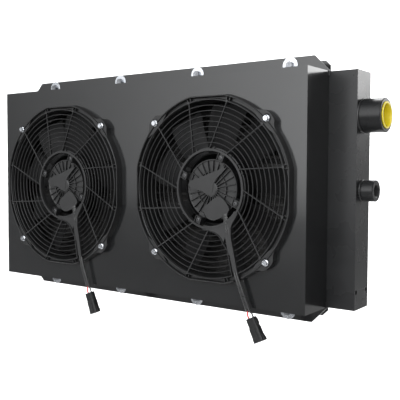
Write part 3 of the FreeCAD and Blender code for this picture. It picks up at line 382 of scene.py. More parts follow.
def side_faces(n):
    """Quads between an outline of n points and its copy."""
    return [(i, (i + 1) % n, n + (i + 1) % n, n + i) for i in range(n)]


def deep(y):
    return Vector((0, y, 0))


def lathe(profile, segments=96, closed=True, reach=None):
    """Turns (radius, Y) points about the Y axis. reach may change each point by its angle."""
    verts = []
    for k in range(segments):
        angle = 2 * math.pi * k / segments
        for i, (radius, y) in enumerate(profile):
            if reach:
                radius, y = reach(i, radius, y, angle)
            verts.append((radius * math.sin(angle), y, radius * math.cos(angle)))
    faces = ring_faces(segments, len(profile), True, closed)
    return Shape(verts, faces)


def hoop(radius, y, width, height, segments=160):
    """A ring with a rounded rectangular section, its middle at one radius and Y."""
    section = soft_rectangle(width, height, 0.55)
    return lathe([(radius + a, y + b) for a, b in section], segments)


def prism(outline, low, high):
    """An outline in X and Z made solid between two stations on Y."""
    n = len(outline)
    verts = [(x, low, z) for x, z in outline] + [(x, high, z) for x, z in outline]
    faces = [tuple(range(n)), tuple(range(2 * n - 1, n - 1, -1))]
    return Shape(verts, faces + side_faces(n))


def block(x, y, z):
    """A box from (low, high) pairs."""
    verts = [(a, b, c) for a in x for b in y for c in z]
    faces = [(0, 1, 3, 2), (4, 6, 7, 5), (0, 4, 5, 1), (2, 3, 7, 6), (0, 2, 6, 4), (1, 5, 7, 3)]
    return Shape(verts, faces)


def disc_outline(radius, count):
    angles = [2 * math.pi * k / count for k in range(count)]
    return [(radius * math.cos(angle), radius * math.sin(angle)) for angle in angles]


def bar(start, end, width, front, back):
    """A bar between two (x, z) points; front and back are (Y at start, Y at end)."""
    a, b = Vector((start[0], 0, start[1])), Vector((end[0], 0, end[1]))
    aside = (b - a).cross(Vector((0, 1, 0))).normalized() * (width / 2)
    verts = []
    for p, f, g in ((a, front[0], back[0]), (b, front[1], back[1])):
        inset = aside * 0.55
        soft = min(width * 0.25, 0.5)
        verts += [p - aside + deep(f + soft), p - inset + deep(f), p + inset + deep(f),
                  p + aside + deep(f + soft), p + aside + deep(g), p - aside + deep(g)]
    return Shape(verts, [(5, 4, 3, 2, 1, 0), (6, 7, 8, 9, 10, 11)] + side_faces(6))


def wall(points, width, front, back):
    """A thin upright wall along (x, z) points; front and back give its Y range at each point."""
    n = len(points)
    verts = []
    for i, (x, z) in enumerate(points):
        before = points[max(i - 1, 0)]
        after = points[min(i + 1, n - 1)]
        along = Vector((after[0] - before[0], 0, after[1] - before[1])).normalized()
        aside = along.cross(Vector((0, 1, 0))) * (width / 2)
        p = Vector((x, 0, z))
        f, g = front[i], back[i]
        soft = min(0.45, width * 0.35)
        verts += [p - aside + deep(g), p - aside + deep(f + soft), p - aside * 0.4 + deep(f),
                  p + aside * 0.4 + deep(f), p + aside + deep(f + soft), p + aside + deep(g)]
    faces = [tuple(range(6)), tuple(range(6 * n - 1, 6 * n - 7, -1))]
    for i in range(n - 1):
        for j in range(6):
            a, b = 6 * i + j, 6 * i + (j + 1) % 6
            faces.append((a, b, b + 6, a + 6))
    return Shape(verts, faces)


def hex_head(flats, height, chamfer=0.9):
    """A hexagon head along -Y from Y = 0, its outer corners turned off."""
    rows = []
    for y, limit in ((0, 99), (-height + chamfer, 99), (-height, flats / 2 * 0.97)):
        row = []
        for k in range(36):
            angle = math.radians(10 * k)
            local = (math.degrees(angle) + 30) % 60 - 30
            radius = min(flats / 2 / math.cos(math.radians(local)), limit)
            row.append((radius * math.sin(angle), y, radius * math.cos(angle)))
        rows.append(row)
    verts = [v for row in rows for v in row]
    return Shape(verts, loft_faces(3, 36))


def make_piece(name, shape, surface, body=FRAME_BODY, replaces=(), smooth=35, bevel=0.0,
               recalc=True):
    """Turns a shape into a Blender piece that rides on a body."""
    mesh = bpy.data.meshes.new(name)
    mesh.from_pydata([v * 0.001 for v in shape.verts], [], shape.faces)
    if recalc:
        work = bmesh.new()
        work.from_mesh(mesh)
        bmesh.ops.remove_doubles(work, verts=work.verts, dist=1e-6)
        bmesh.ops.recalc_face_normals(work, faces=work.faces)
        work.to_mesh(mesh)
        work.free()
    return finish_piece(name, mesh, surface, body, replaces, smooth, bevel)


def finish_piece(name, mesh, surface, body, replaces, smooth, bevel, segments=2):
    mesh.materials.clear()
    mesh.materials.append(surface.material)
    for face in mesh.polygons:
        face.use_smooth = True
        face.material_index = 0
    mesh.set_sharp_from_angle(angle=math.radians(smooth))
    piece = bpy.data.objects.new(name, mesh)
    bpy.context.scene.collection.objects.link(piece)
    if bevel:
        rounded = piece.modifiers.new("edges", "BEVEL")
        rounded.width = bevel * 0.001
        rounded.segments = segments
        rounded.limit_method = "ANGLE"
        rounded.angle_limit = math.radians(38)
        rounded.harden_normals = True
    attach(piece, body)
    if replaces:
        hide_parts(*replaces)
    return piece


def refined(node, surface, bevel=0.6, segments=2):
    """The CAD piece again, with its flat faces merged and its edges rounded."""
    work = bmesh.new()
    work.from_mesh(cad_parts[node].data)
    bmesh.ops.remove_doubles(work, verts=work.verts, dist=2e-6)
    bmesh.ops.dissolve_limit(work, angle_limit=math.radians(0.6), verts=work.verts, edges=work.edges)
    name = node + "_finished"
    mesh = bpy.data.meshes.new(name)
    work.to_mesh(mesh)
    work.free()
    return finish_piece(name, mesh, surface, FRAME_BODY, [node], 30, bevel, segments)


def dress(node, surface):
    """Gives a CAD piece that stays as it is a finished material."""
    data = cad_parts[node]
    if not data.material_slots:
        data.data.materials.append(surface.material)
    for slot in data.material_slots:
        slot.material = surface.material
    for face in data.data.polygons:
        face.use_smooth = True
    data.data.set_sharp_from_angle(angle=math.radians(30))


# ------------------------------------------------------------------ cables and connectors

ROUTES = {
    "left": {
        "x": -FAN_X,
        "points": [(35.5, -57.0, -4.6), (44.5, -88.0, -7.2), (51.5, -117.0, -10.2), (60.5, -145.0, -12.6),
                   (66.5, -167.0, -12.2), (73.6, -187.0, -10.8), (78.4, -202.4, -10.0)],
        "plug": (82.6, -214.6, -10.0),
        "tilt": 22.3,
    },
    "right": {
        "x": FAN_X,
        "points": [(35.5, -57.0, -4.6), (44.0, -88.0, -7.2), (51.8, -117.0, -10.2), (61.5, -145.0, -12.6),
                   (70.8, -167.0, -12.2), (78.2, -187.0, -10.8), (84.6, -202.4, -10.0)],
        "plug": (90.2, -213.2, -10.0),
        "tilt": 26.3,
    },
}


def from_fan(side, point):
    """A point given as X and Z from the fan's centre and Y from the plate, in the frame."""
    x, z, y = point
    return ROUTES[side]["x"] + x, PLATE_Y + y, z


def smooth_line(name, points):
    """Points along a NURBS spline that has the given points as its control points, in mm."""
    data = bpy.data.curves.new(name, "CURVE")
    data.dimensions = "3D"
    spline = data.splines.new("NURBS")
    spline.points.add(len(points) - 1)
    for control, point in zip(spline.points, points):
        control.co = (*[c * 0.001 for c in point], 1)
    spline.order_u = 3
    spline.use_endpoint_u = True
    spline.resolution_u = LINE_SAMPLES
    line = bpy.data.objects.new(name, data)
    bpy.context.scene.collection.objects.link(line)
    bpy.context.view_layer.update()
    mesh = bpy.data.meshes.new_from_object(line.evaluated_get(bpy.context.evaluated_depsgraph_get()))
    found = [v.co * 1000 for v in mesh.vertices]
    bpy.data.objects.remove(line)
    bpy.data.meshes.remove(mesh)
    return found


def swept(line, section, across):
    """A closed tube along a line. across is the section's first axis at the start."""
    verts = []
    aside = Vector(across)
    for i, point in enumerate(line):
        along = (line[min(i + 1, len(line) - 1)] - line[max(i - 1, 0)]).normalized()
        aside = (aside - along * aside.dot(along)).normalized()
        up = along.cross(aside)
        verts += [point + aside * a + up * b for a, b in section]
    return Shape(verts, loft_faces(len(line), len(section)))


def twin_section():
    """Two round cores side by side in one jacket: 9 wide and 4.6 thick, with a groove between."""
    half = []
    radius, centre = 2.3, 2.2
    for k in range(11):
        angle = math.radians(-128 + 256 * k / 10)
        half.append((centre + radius * math.cos(angle), radius * math.sin(angle)))
    other = [(-x, -y) for x, y in half]
    return half + other


def build_cables(surfaces):
    for side, facts in ROUTES.items():
        route = [from_fan(side, point) for point in facts["points"]]
        line = smooth_line(f"{side}_cable_line", route)
        cable = make_piece(f"{side}_cable_jacket", swept(line, twin_section(), (1, 0, 0.3)),
                           surfaces["cable_jacket"],
                           replaces=[f"{side}_fan_cable"], smooth=50)
        tails = build_tails(side, facts, surfaces)
        plug = build_connector(side, facts, surfaces)


def build_tails(side, facts, surfaces):
    """The two short insulated leads between the jacket's end and the connector."""
    (ax, az, ay), (bx, bz, by) = facts["points"][-2:]
    end = Vector(from_fan(side, facts["points"][-1]))
    onward = Vector((bx - ax, by - ay, bz - az)).normalized()
    mouth = Vector(from_fan(side, facts["plug"]))
    turn = math.radians(facts["tilt"])
    along = Vector((math.sin(turn), 0, -math.cos(turn)))
    aside = Vector((math.cos(turn), 0, math.sin(turn)))
    made = []
    for colour, shift in (("red", -1), ("black", 1)):
        leave = end + aside * (2.1 * shift) - onward * 2
        enter = mouth + aside * (4.6 * shift) + along * 2.5
        belly = aside * (1.6 * shift)
        control = [leave, leave + onward * 5, (leave + enter) / 2 + belly, enter - along * 5, enter]
        line = smooth_line(f"{side}_{colour}_line", control)
        tail = make_piece(f"{side}_{colour}_tail", swept(line, disc_outline(1.35, 16), (0, 1, 0)),
                          surfaces[f"{colour}_insulation"],
                          replaces=[f"{side}_{colour}_lead"], smooth=60)
        made.append(tail)
    return made


def build_connector(side, facts, surfaces):
    """A two-way sealed plug: ribbed lock sleeve, socket body, latch and flared mouth."""
    place = Matrix.Translation(from_fan(side, facts["plug"])) @ \
        Matrix.Rotation(math.radians(-facts["tilt"]), 4, "Y")
    surface = surfaces["connector_plastic"]

    lock = rounded_tube(8.3, 5.6, 1.6, -17, 0)
    for k in range(5):
        middle = -6.4 + 3.2 * k
        lock.add(block((middle - 0.75, middle + 0.75), (-6.4, -5.2), (-15.6, -1.2)))
        lock.add(block((middle - 0.75, middle + 0.75), (5.2, 6.4), (-15.6, -1.2)))
    lock.add(block((8.0, 10.4), (-3.2, 3.2), (-13.0, -4.0)))
    lock.add(block((8.0, 9.4), (-2.2, 2.2), (-16.5, -12.5)))
    lock.add(rounded_tube(8.9, 6.1, 1.8, -17.6, -15.8))
    lock_piece = make_piece(f"{side}_connector_sleeve", lock.placed(place),
                            surface, replaces=[f"{side}_connector_lock"], bevel=0.35)

    body = rounded_tube(9.3, 6.3, 2.2, -34, -17.6)
    body.add(rounded_tube(9.9, 6.7, 2.4, -42, -33.4, hollow=1.9, depth=14))
    body.add(rounded_tube(9.6, 6.5, 2.3, -21, -19.2))
    body.add(block((-3.2, 3.2), (-7.4, -6.0), (-38.0, -20.5)))
    body.add(block((-2.0, 2.0), (-8.0, -7.2), (-36.5, -33.5)))
    for level in (-24.5, -27.5, -30.5):
        body.add(rounded_tube(9.55, 6.5, 2.2, level - 0.6, level + 0.6))
    tongue = prism([(9.0, -26.0), (9.0, -42.0), (12.2, -42.0), (12.2, -37.0), (10.4, -31.0)], -3.6, 3.6)
    body.add(tongue)
    body_piece = make_piece(f"{side}_connector_shell", body.placed(place),
                            surface, replaces=[f"{side}_connector_body"], bevel=0.35)
    seal = Shape()
    for shift in (-4.6, 4.6):
        tube = lathe([(1.5, 0.0), (3.0, 0.0), (3.4, 0.5), (3.4, 2.0), (2.6, 2.4), (1.5, 2.4)], 24)
        seal.add(tube.turned(-90, "X").moved(shift, 0, 0.3))
    seal_piece = make_piece(f"{side}_wire_seals", seal.placed(place),
                            surfaces["black_rubber"])
    return [lock_piece, body_piece, seal_piece]


def rounded_tube(half_x, half_y, corner, low, high, hollow=0.0, depth=0.0):
    """An upright block with rounded corners in plan; hollow leaves a socket open at its low end."""
    outline = rounded_outline(half_x, half_y, corner)
    n = len(outline)
    if not hollow:
        verts = [(x, y, low) for x, y in outline] + [(x, y, high) for x, y in outline]
        return Shape(verts, [tuple(range(n - 1, -1, -1)), tuple(range(n, 2 * n))] + side_faces(n))
    inner = rounded_outline(half_x - hollow, half_y - hollow, max(corner - hollow, 0.6))
    rows = [(outline, high), (outline, low), (inner, low), (inner, low + depth)]
    verts = [(x, y, z) for line, z in rows for x, y in line]
    faces = ring_faces(4, n, False) + [tuple(range(n)), tuple(range(4 * n - 1, 3 * n - 1, -1))]
    return Shape(verts, faces)


def rounded_outline(half_x, half_y, corner):
    points, steps = [], 5
    for sx, sy, start in ((1, 1, 0), (-1, 1, 90), (-1, -1, 180), (1, -1, 270)):
        cx, cy = sx * (half_x - corner), sy * (half_y - corner)
        for k in range(steps + 1):
            angle = math.radians(start + 90 * k / steps)
            points.append((cx + corner * math.cos(angle), cy + corner * math.sin(angle)))
    return points


# ------------------------------------------------------------------ fans

FLAT = 161.5
RIM_HALF_DEGREES = 2.6


def cable_angle(side):
    """Where the cable crosses the rim, clockwise from up, in radians."""
    x, z, _ = ROUTES[side]["points"][4]
    return math.atan2(x, z) % (2 * math.pi)


def limited(radius, flat, angle):
    return min(radius, flat / max(abs(math.sin(angle)), abs(math.cos(angle))))


def fan_piece(side, name, node, shape, surface, smooth, body=FRAME_BODY):
    """Makes a moulding, drawn about the fan's centre, in its place in the frame."""
    make_piece(f"{side}_{name}", shape.moved(ROUTES[side]["x"], PLATE_Y, 0), surface,
               body=body, replaces=[f"{side}_{node}"], smooth=smooth)


def build_housing(side, surfaces):
    """The moulded ring, drawn round with its four flats, notch, lugs and clip ribs."""
    notch = cable_angle(side)
    profile = [
        (153.5, 30.0), (153.5, -10.0), (154.1, -10.9), (156.1, -10.9), (156.5, -10.2), (156.7, -6.4),
        (157.4, -6.0), (162.2, -6.0), (163.0, -6.6), (163.2, -13.2), (163.8, -14.0), (164.9, -14.0),
        (165.5, -13.3), (166.8, -0.6), (167.0, 0.0), (157.5, 0.0), (156.5, 1.0), (156.5, 30.0),
    ]
    outer = {7: -3.3, 8: -2.5, 9: -2.3, 10: -1.7, 11: -0.6, 12: 0.0, 13: 1.2, 14: 1.4}

    def reach(i, radius, y, angle):
        if i in outer:
            radius = limited(radius, FLAT + outer[i], angle)
        off = abs((angle - notch + math.pi) % (2 * math.pi) - math.pi)
        if math.degrees(off) < RIM_HALF_DEGREES and y < -6.6:
            y = -6.6
        return radius, y

    shape = lathe(profile, 360, True, reach)
    for k in range(12):
        middle = 30 * k + 15.5
        for step in (-1.15, 1.15):
            if abs((middle - math.degrees(notch) + 180) % 360 - 180) < 6:
                continue
            rib = block((-0.7, 0.7), (-11.8, -5.6), (156.2, 162.6))
            reach_z = limited(163.0, FLAT - 2.5, math.radians(middle + step))
            rib = Shape([Vector((v.x, v.y, min(v.z, reach_z + 0.1))) for v in rib.verts], rib.faces)
            shape.add(rib.turned(middle + step))
    for across, level in CORNERS:
        shape.add(lug(across, level))
    fan_piece(side, "housing_moulding", "fan_housing", shape, surfaces["black_plastic"], 28)


def lug(across, level):
    """A corner ear that fairs into the rim on both sides."""
    centre = math.radians(45)
    outline = []
    for degrees, radius in ((-11.5, 163.2), (-11.5, 165.6), (-9.0, 166.2), (-6.8, 168.2), (-5.2, 171.6),
                            (-4.2, 174.6), (-2.6, 176.2), (0, 176.8), (2.6, 176.2), (4.2, 174.6),
                            (5.2, 171.6), (6.8, 168.2), (9.0, 166.2), (11.5, 165.6), (11.5, 163.2),
                            (6.0, 157.5), (0, 156.9), (-6.0, 157.5)):
        angle = centre + math.radians(degrees)
        outline.append((across * radius * math.sin(angle), level * radius * math.cos(angle)))
    shape = prism(outline, -11.5, 0.0)
    collar = lathe([(3.4, -11.5), (7.6, -11.5), (8.0, -11.2), (8.0, -8.0), (3.4, -8.0)], 32)
    return shape.add(collar.moved(across * SCREW_REACH, 0, level * SCREW_REACH))


def guard_front(radius):
    """Y of the guard's front face at one radius: a shallow dish."""
    return -6.5 - (radius - 68.7) / (155.0 - 68.7) * 7.8


def polar(radius, degrees):
    angle = math.radians(degrees)
    return radius * math.sin(angle), radius * math.cos(angle)


def build_guard(side, surfaces):
    """The grille: thin rings, swept spokes, hub ring with pockets, and the cable's channel."""
    route = ROUTES[side]["points"]
    shape = Shape()
    for k in range(8):
        radius = 81.5 + 9.07 * k
        shape.add(arc_hoop(radius, guard_front(radius) + 1.5, 1.25, 2.6, side))
    shape.add(arc_hoop(155.0, -12.7, 2.0, 3.2, side))
    shape.add(lathe([(66.6, 2.0), (66.6, -6.7), (66.9, -7.1), (70.5, -7.1), (70.9, -6.7), (71.0, -2.6),
                     (72.6, -2.4), (72.8, 1.2), (70.9, 2.0)], 180))
    for k in range(24):
        if k % 6 not in (1, 5):
            shape.add(block((-1.1, 1.1), (-5.0, 1.4), (70.4, 74.2)).turned(15 * k + 7.5))
    for k in range(12):
        if k == 5:
            continue
        start, end = polar(69.5, 30 * k), polar(155.2, 30 * k + 15.5)
        shape.add(bar(start, end, 1.9, (guard_front(68.7) - 0.2, guard_front(155) + 0.1), (-2.6, -11.1)))
        shape.add(block((-2.2, 2.2), (-14.6, -11.2), (153.4, 157.4)).turned(30 * k + 15.5))
    for degrees in MOTOR_SCREW_ANGLES:
        shape.add(pocket(degrees))
    shape.add(cable_channel(route))
    fan_piece(side, "guard_grille", "fan_guard", shape, surfaces["guard_plastic"], 40)


def arc_hoop(radius, y, width, height, side):
    """A guard ring, left open where the cable's channel passes."""
    section = soft_rectangle(width, height, 0.6)
    (ax, az, _), (bx, bz, _) = ROUTES[side]["points"][0], ROUTES[side]["points"][3]
    dx, dz = bx - ax, bz - az
    low, high = 0.0, 1.0
    for _ in range(40):
        t = (low + high) / 2
        if math.hypot(ax + 1.4 * dx * t, az + 1.4 * dz * t) < radius:
            low = t
        else:
            high = t
    middle = math.atan2(ax + 1.4 * dx * low, az + 1.4 * dz * low)
    gap = 6.0 / radius
    steps = 150
    verts = []
    for k in range(steps + 1):
        angle = middle + gap + (2 * math.pi - 2 * gap) * k / steps
        verts += [((radius + a) * math.sin(angle), y + b, (radius + a) * math.cos(angle)) for a, b in section]
    return Shape(verts, loft_faces(steps + 1, len(section)))


def pocket(degrees):
    """A square frame on the hub ring that holds one motor screw's round socket."""
    shape = Shape()
    half, wide = 6.6, 1.3
    inner, outer = 52.8, 68.5
    front, back = -6.9, 1.8
    shape.add(block((-half, -half + wide), (front, back), (inner, outer)))
    shape.add(block((half - wide, half), (front, back), (inner, outer)))
    shape.add(block((-half, half), (front, back), (inner, inner + wide)))
    shape.add(block((-half + 0.5, half - 0.5), (-3.6, back), (inner + 0.5, outer)))
    socket = lathe([(2.4, -3.8), (4.0, -5.4), (5.1, -5.4), (5.1, -3.4), (2.4, -3.4)], 28)
    shape.add(socket.moved(0, 0, MOTOR_SCREW_RADIUS))
    return shape.turned(degrees)


def cable_channel(route):
    """The open trough that carries the cable out, with a fork at the hub and a lip near the rim."""
    a, b = Vector((route[0][0], 0, route[0][1])), Vector((route[3][0], 0, route[3][1]))
    y_a, y_b = route[0][2], route[3][2]
    along = (b - a).normalized()
    aside = Vector((along.z, 0, -along.x))
    if aside.x < 0:
        aside = -aside
    length = (b - a).length
    shape = Shape()

    def at(t, side_step):
        point = a + along * (length * t) + aside * side_step
        return point.x, point.z

    def level(t):
        return y_a + (y_b - y_a) * t

    stations = [0.12, 0.3, 0.5, 0.7, 0.85, 1.0]
    left = [(-13.0, -71.5), (1.0, -72.4), (12.0, -74.5), (21.0, -78.5), (28.0, -84.5), (33.0, -92.0)]
    left += [at(t, -5.9) for t in stations[2:]]
    right = [(60.5, -41.0), (54.5, -50.5), (49.5, -58.5), (47.5, -66.0), (48.2, -73.0)]
    right += [at(t, 5.9) for t in stations[1:]]

    def share(point):
        return max(0.0, min(1.05, (Vector((point[0], 0, point[1])) - a).dot(along) / length))

    for line in (left, right):
        fronts = [level(share(p)) - 4.9 for p in line]
        backs = [level(share(p)) + 4.6 for p in line]
        shape.add(wall(line, 1.3, fronts, backs))
    stops = (0.1, 0.4, 0.7, 1.0)
    for t0, t1 in zip(stops, stops[1:]):
        corners = [at(t0, -5.6), at(t0, 5.6), at(t1, 5.6), at(t1, -5.6)]
        shape.add(slab(corners, [level(t0) + 3.9, level(t0) + 3.9, level(t1) + 3.9, level(t1) + 3.9], 1.2))
    for t0, t1, inner, rise in ((0.22, 0.60, -5.6, 3.4), (0.60, 0.93, -2.2, 3.9)):
        corners = [at(t0, inner), at(t0, 5.6), at(t1, 5.6), at(t1, inner)]
        shape.add(slab(corners, [level(t) - rise for t in (t0, t0, t1, t1)], 1.0))
    hub_edge = [polar(64.5, degrees) for degrees in range(124, 191, 6)]
    fork = hub_edge + left[:6] + [at(0.24, -5.6), at(0.24, 5.6)] + right[4::-1]
    middle = at(0.12, 0)
    count = len(fork)
    verts = [(middle[0], level(0.1) - 2.0, middle[1])]
    verts += [(x, level(share((x, z))) - 2.2, z) for x, z in fork]
    verts += [(middle[0], level(0.1) - 1.2, middle[1])]
    verts += [(x, level(share((x, z))) - 1.4, z) for x, z in fork]
    faces = []
    for i in range(count):
        a_, b_ = 1 + i, 1 + (i + 1) % count
        faces += [(0, a_, b_), (count + 1, b_ + count + 1, a_ + count + 1),
                  (a_, a_ + count + 1, b_ + count + 1, b_)]
    return shape.add(Shape(verts, faces))


def slab(corners, levels, thickness):
    """A four-cornered plate whose corners stand at their own levels on Y."""
    verts = [(x, y, z) for (x, z), y in zip(corners, levels)]
    verts += [(x, y + thickness, z) for (x, z), y in zip(corners, levels)]
    return Shape(verts, [(0, 1, 2, 3), (7, 6, 5, 4)] + side_faces(4))


def build_motor_cover(side, surfaces):
    """The ribbed end of the motor inside the hub ring."""
    disc = lathe([(0.01, 4.6), (49.0, 4.6), (50.6, 3.2), (52.0, 3.2), (52.0, 8.0), (0.01, 8.0)], 120)
    shape = Shape().add(disc)
    for k in range(24):
        start, end = polar(12.0, 15 * k + 4), polar(50.6, 15 * k + 4)
        shape.add(bar(start, end, 1.5, (-0.2, 1.2), (5.0, 5.0)))
    shape.add(lathe([(0.01, -1.2), (11.5, -1.2), (13.5, 0.2), (13.9, 5.0), (0.01, 5.0)], 48))
    shape.add(hoop(30.5, 3.0, 1.2, 3.6, 96))
    wedge = [(-49.3, 6.1), (-44.8, 13.4), (-9.7, 24.4), (15.8, 33.4), (33.7, 37.9), (22.0, 27.0),
             (11.7, 17.7), (5.4, 7.2), (3.4, -6.8), (-7.3, -10.6), (-18.2, -3.8), (-40.3, -0.8)]
    shape.add(prism(wedge, -1.6, 4.8))
    leaf = [(-13.0, -35.4), (-7.4, -27.8), (-0.1, -22.6), (7.6, -16.6), (14.7, -13.4), (21.5, -13.4),
            (27.3, -16.5), (33.6, -23.2), (38.6, -29.8), (40.0, -34.6), (36.0, -41.2), (29.6, -45.8),
            (19.0, -50.9), (8.6, -54.6), (0.4, -54.0), (-6.4, -51.0), (-11.4, -43.6)]
    shape.add(prism(leaf, -2.6, 4.8))
    for degrees in MOTOR_SCREW_ANGLES:
        shape.add(block((-6.4, 6.4), (2.0, 8.0), (46.0, 64.4)).turned(degrees))
    outlet = block((-8.0, 8.0), (-1.0, 8.0), (18.0, 55.5))
    x, z, _ = ROUTES[side]["points"][0]
    shape.add(outlet.turned(math.degrees(math.atan2(x, z))))
    fan_piece(side, "cover_moulding", "motor_rear_cover", shape, surfaces["cover_plastic"], 30)


def build_impeller(side, surfaces):
    """A cupped hub with nine cambered blades."""
    hub = lathe([(61.6, 12.0), (63.4, 12.0), (64.0, 12.6), (64.0, 48.5), (61.0, 51.4), (57.0, 52.0),
                 (16.0, 52.0), (12.0, 53.0), (11.0, 56.0), (4.1, 56.0), (4.1, 46.5), (11.0, 46.5),
                 (12.0, 49.2), (59.0, 49.2), (61.6, 47.0)], 128)
    shape = Shape().add(hub)
    for k in range(12):
        start, end = polar(13.0, 30 * k), polar(61.0, 30 * k)
        shape.add(bar(start, end, 1.8, (46.5, 45.0), (50.0, 50.0)))
    for k in range(9):
        shape.add(blade().turned(40 * k))
    fan_piece(side, "impeller_moulding", "impeller", shape, surfaces["impeller_plastic"], 50,
              f"{side}_rotor")


def blade():
    """One blade as an aerofoil lofted outwards, leaning ahead at its tip."""
    rows, chordwise = 13, 14
    verts = []
    for i in range(rows):
        t = i / (rows - 1)
        radius = 62.8 + (149.0 - 62.8) * t
        chord = 44 + 20 * t
        pitch = math.radians(46 - 22 * t ** 0.8)
        lead = 20 * t ** 2
        if i == rows - 1:
            chord *= 0.93
        section = []
        for j in range(chordwise):
            s = j / (chordwise - 1)
            camber = 0.07 * chord * (1 - (2 * s - 1) ** 2)
            thick = 0.3 + 2.6 * math.sqrt(max(s, 0.0)) * (1 - s) ** 0.7
            section.append((s, camber, thick / 2))
        loop = [(s, c + h) for s, c, h in section] + [(s, c - h) for s, c, h in reversed(section)]
        for s, lift in loop:
            along = (s - 0.5) * chord
            x = lead + along * math.cos(pitch) - lift * math.sin(pitch)
            y = 31.0 + along * math.sin(pitch) + lift * math.cos(pitch)
            depth = math.sqrt(max(radius ** 2 - x ** 2, 1.0))
            verts.append((x, y, depth))
    return Shape(verts, loft_faces(rows, chordwise * 2))


def build_grommet(side, surfaces):
    """The cable's strain relief: a flat rubber sleeve with collars."""
    route = ROUTES[side]["points"]
    a, b = (Vector(from_fan(side, point)) for point in route[:2])
    heading = (b - a).normalized()
    profile = [(0.01, -15.0), (2.9, -15.0), (2.9, -11.4), (2.4, -10.8), (2.4, -9.6), (2.9, -9.0),
               (2.9, -7.0), (2.4, -6.4), (2.4, -5.2), (2.9, -4.6), (2.8, -2.6), (2.4, -2.0), (2.4, -0.8),
               (2.7, -0.2), (2.7, 2.6), (2.4, 3.0), (0.01, 3.0)]
    sleeve = lathe(profile, 32)
    aside = heading.cross(Vector((0, 1, 0))).normalized()
    deep = heading.cross(aside)
    shape = Shape([a + heading * v.y + aside * (v.x * 1.95) + deep * v.z for v in sleeve.verts],
                  sleeve.faces)
    make_piece(f"{side}_strain_relief", shape, surfaces["black_rubber"],
               replaces=[f"{side}_cable_grommet"], smooth=40)


# ------------------------------------------------------------------ fasteners


def flange_screw():
    """A zinc hexagon flange screw head, top towards -Y, with its seat at Y = 0."""
    flange = lathe([(0.01, 0.0), (5.8, 0.0), (5.9, -0.5), (5.4, -1.1), (4.4, -1.6), (0.01, -1.6)], 40)
    head = hex_head(8.6, 4.0, 0.9)
    dimple = lathe([(0.01, -3.4), (2.0, -3.8), (3.0, -4.05), (3.2, -3.9), (0.01, -3.2)], 32)
    return Shape().add(flange, head, dimple)


def build_fasteners(surfaces):
    """Every screw, bolt, washer and nut, gathered into one piece for each kind."""
    screws, washers, nuts, bolts, big_washers, back_nuts, pans = (Shape() for _ in range(7))
    seat = PLATE_Y - 12.7
    shank = lathe([(0.01, 0), (3.0, 0), (3.0, 19.8), (2.4, 21.2), (0.01, 21.2)], 24)
    washer = lathe([(3.3, 0.0), (6.0, 0.0), (6.2, 0.2), (6.2, 1.2), (3.3, 1.2)], 40)
    nut = hex_head(10.0, 5.0, 0.8).turned(180, "X")
    for sign in (-1, 1):
        for across, level in CORNERS:
            x, z = FAN_X * sign + SCREW_REACH * across, SCREW_REACH * level
            turn = 17.0 * across + 11.0 * level + 23.0 * sign
            screws.add(flange_screw().turned(turn).moved(x, seat, z), shank.moved(x, seat, z))
            washers.add(washer.moved(x, seat, z))
            nuts.add(nut.turned(turn * 2).moved(x, PLATE_Y + 2.0, z))

    head = hex_head(13.0, 5.3, 1.0)
    dimple = lathe([(0.01, -5.3), (2.4, -5.55), (4.6, -5.55), (4.8, -5.2), (0.01, -5.0)], 32)
    shank = lathe([(0.01, 0.0), (4.0, 0.0), (4.0, 15.0), (3.2, 16.5), (0.01, 16.5)], 28)
    washer = lathe([(4.5, 0.0), (14.2, 0.0), (14.5, 0.3), (14.5, 1.3), (14.3, 1.5), (4.5, 1.5)], 64)
    nut = hex_head(13.0, 6.5, 0.9).turned(180, "X")
    for station in (-1.5, -0.5, 0.5, 1.5):
        for level in (-1, 1):
            x, z = BOLT_PITCH * station, BOLT_Z * level
            turn = 13.0 * station + 8.0 * level
            bolts.add(*[part.moved(x, BOLT_Y, z) for part in (head.turned(turn), dimple, shank)])
            big_washers.add(washer.moved(x, BOLT_Y, z))
            back_nuts.add(nut.turned(turn * 3).moved(x, -49.0, z))

    pan = lathe([(0.01, 0.0), (4.0, 0.0), (4.0, -1.2), (3.4, -2.2), (2.2, -2.6), (1.3, -2.6),
                 (1.2, -1.2), (0.01, -1.2)], 28)
    for sign in (-1, 1):
        for degrees in MOTOR_SCREW_ANGLES:
            x, z = polar(MOTOR_SCREW_RADIUS, degrees)
            pans.add(pan.moved(FAN_X * sign + x, PLATE_Y - 4.0, z))

    for name, shape, surface, node in (
            ("fan_screw_set", screws, "zinc_steel", "fan_screws"),
            ("fan_washer_set", washers, "zinc_steel", "fan_washers"),
            ("fan_nut_set", nuts, "zinc_steel", "fan_nuts"),
            ("shroud_bolt_set", bolts, "zinc_bolt_painted_shade", "shroud_bolts"),
            ("shroud_washer_set", big_washers, "zinc_steel", "shroud_washers"),
            ("shroud_nut_set", back_nuts, "zinc_steel", "shroud_nuts"),
            ("motor_screw_set", pans, "blackened_steel", "motor_screws")):
        make_piece(name, shape, surfaces[surface], replaces=[node], smooth=30)


# ------------------------------------------------------------------ shroud, core, tanks and ports


def build_sheetmetal(surfaces):
    paint = surfaces["black_paint"]
    refined("fan_shroud", paint, bevel=1.1, segments=3)
    for name in ("top_channel", "bottom_channel"):
        refined(name, paint, bevel=0.7)
    ears = Shape()
    for side, level in CORNERS:
        x = sorted((371.2 * side, 373.4 * side))
        z = sorted((190.6 * level, 201.0 * level))
        ears.add(block(x, (-57.2, -55.05), z))
    make_piece("corner_ears", ears, paint, bevel=0.5)


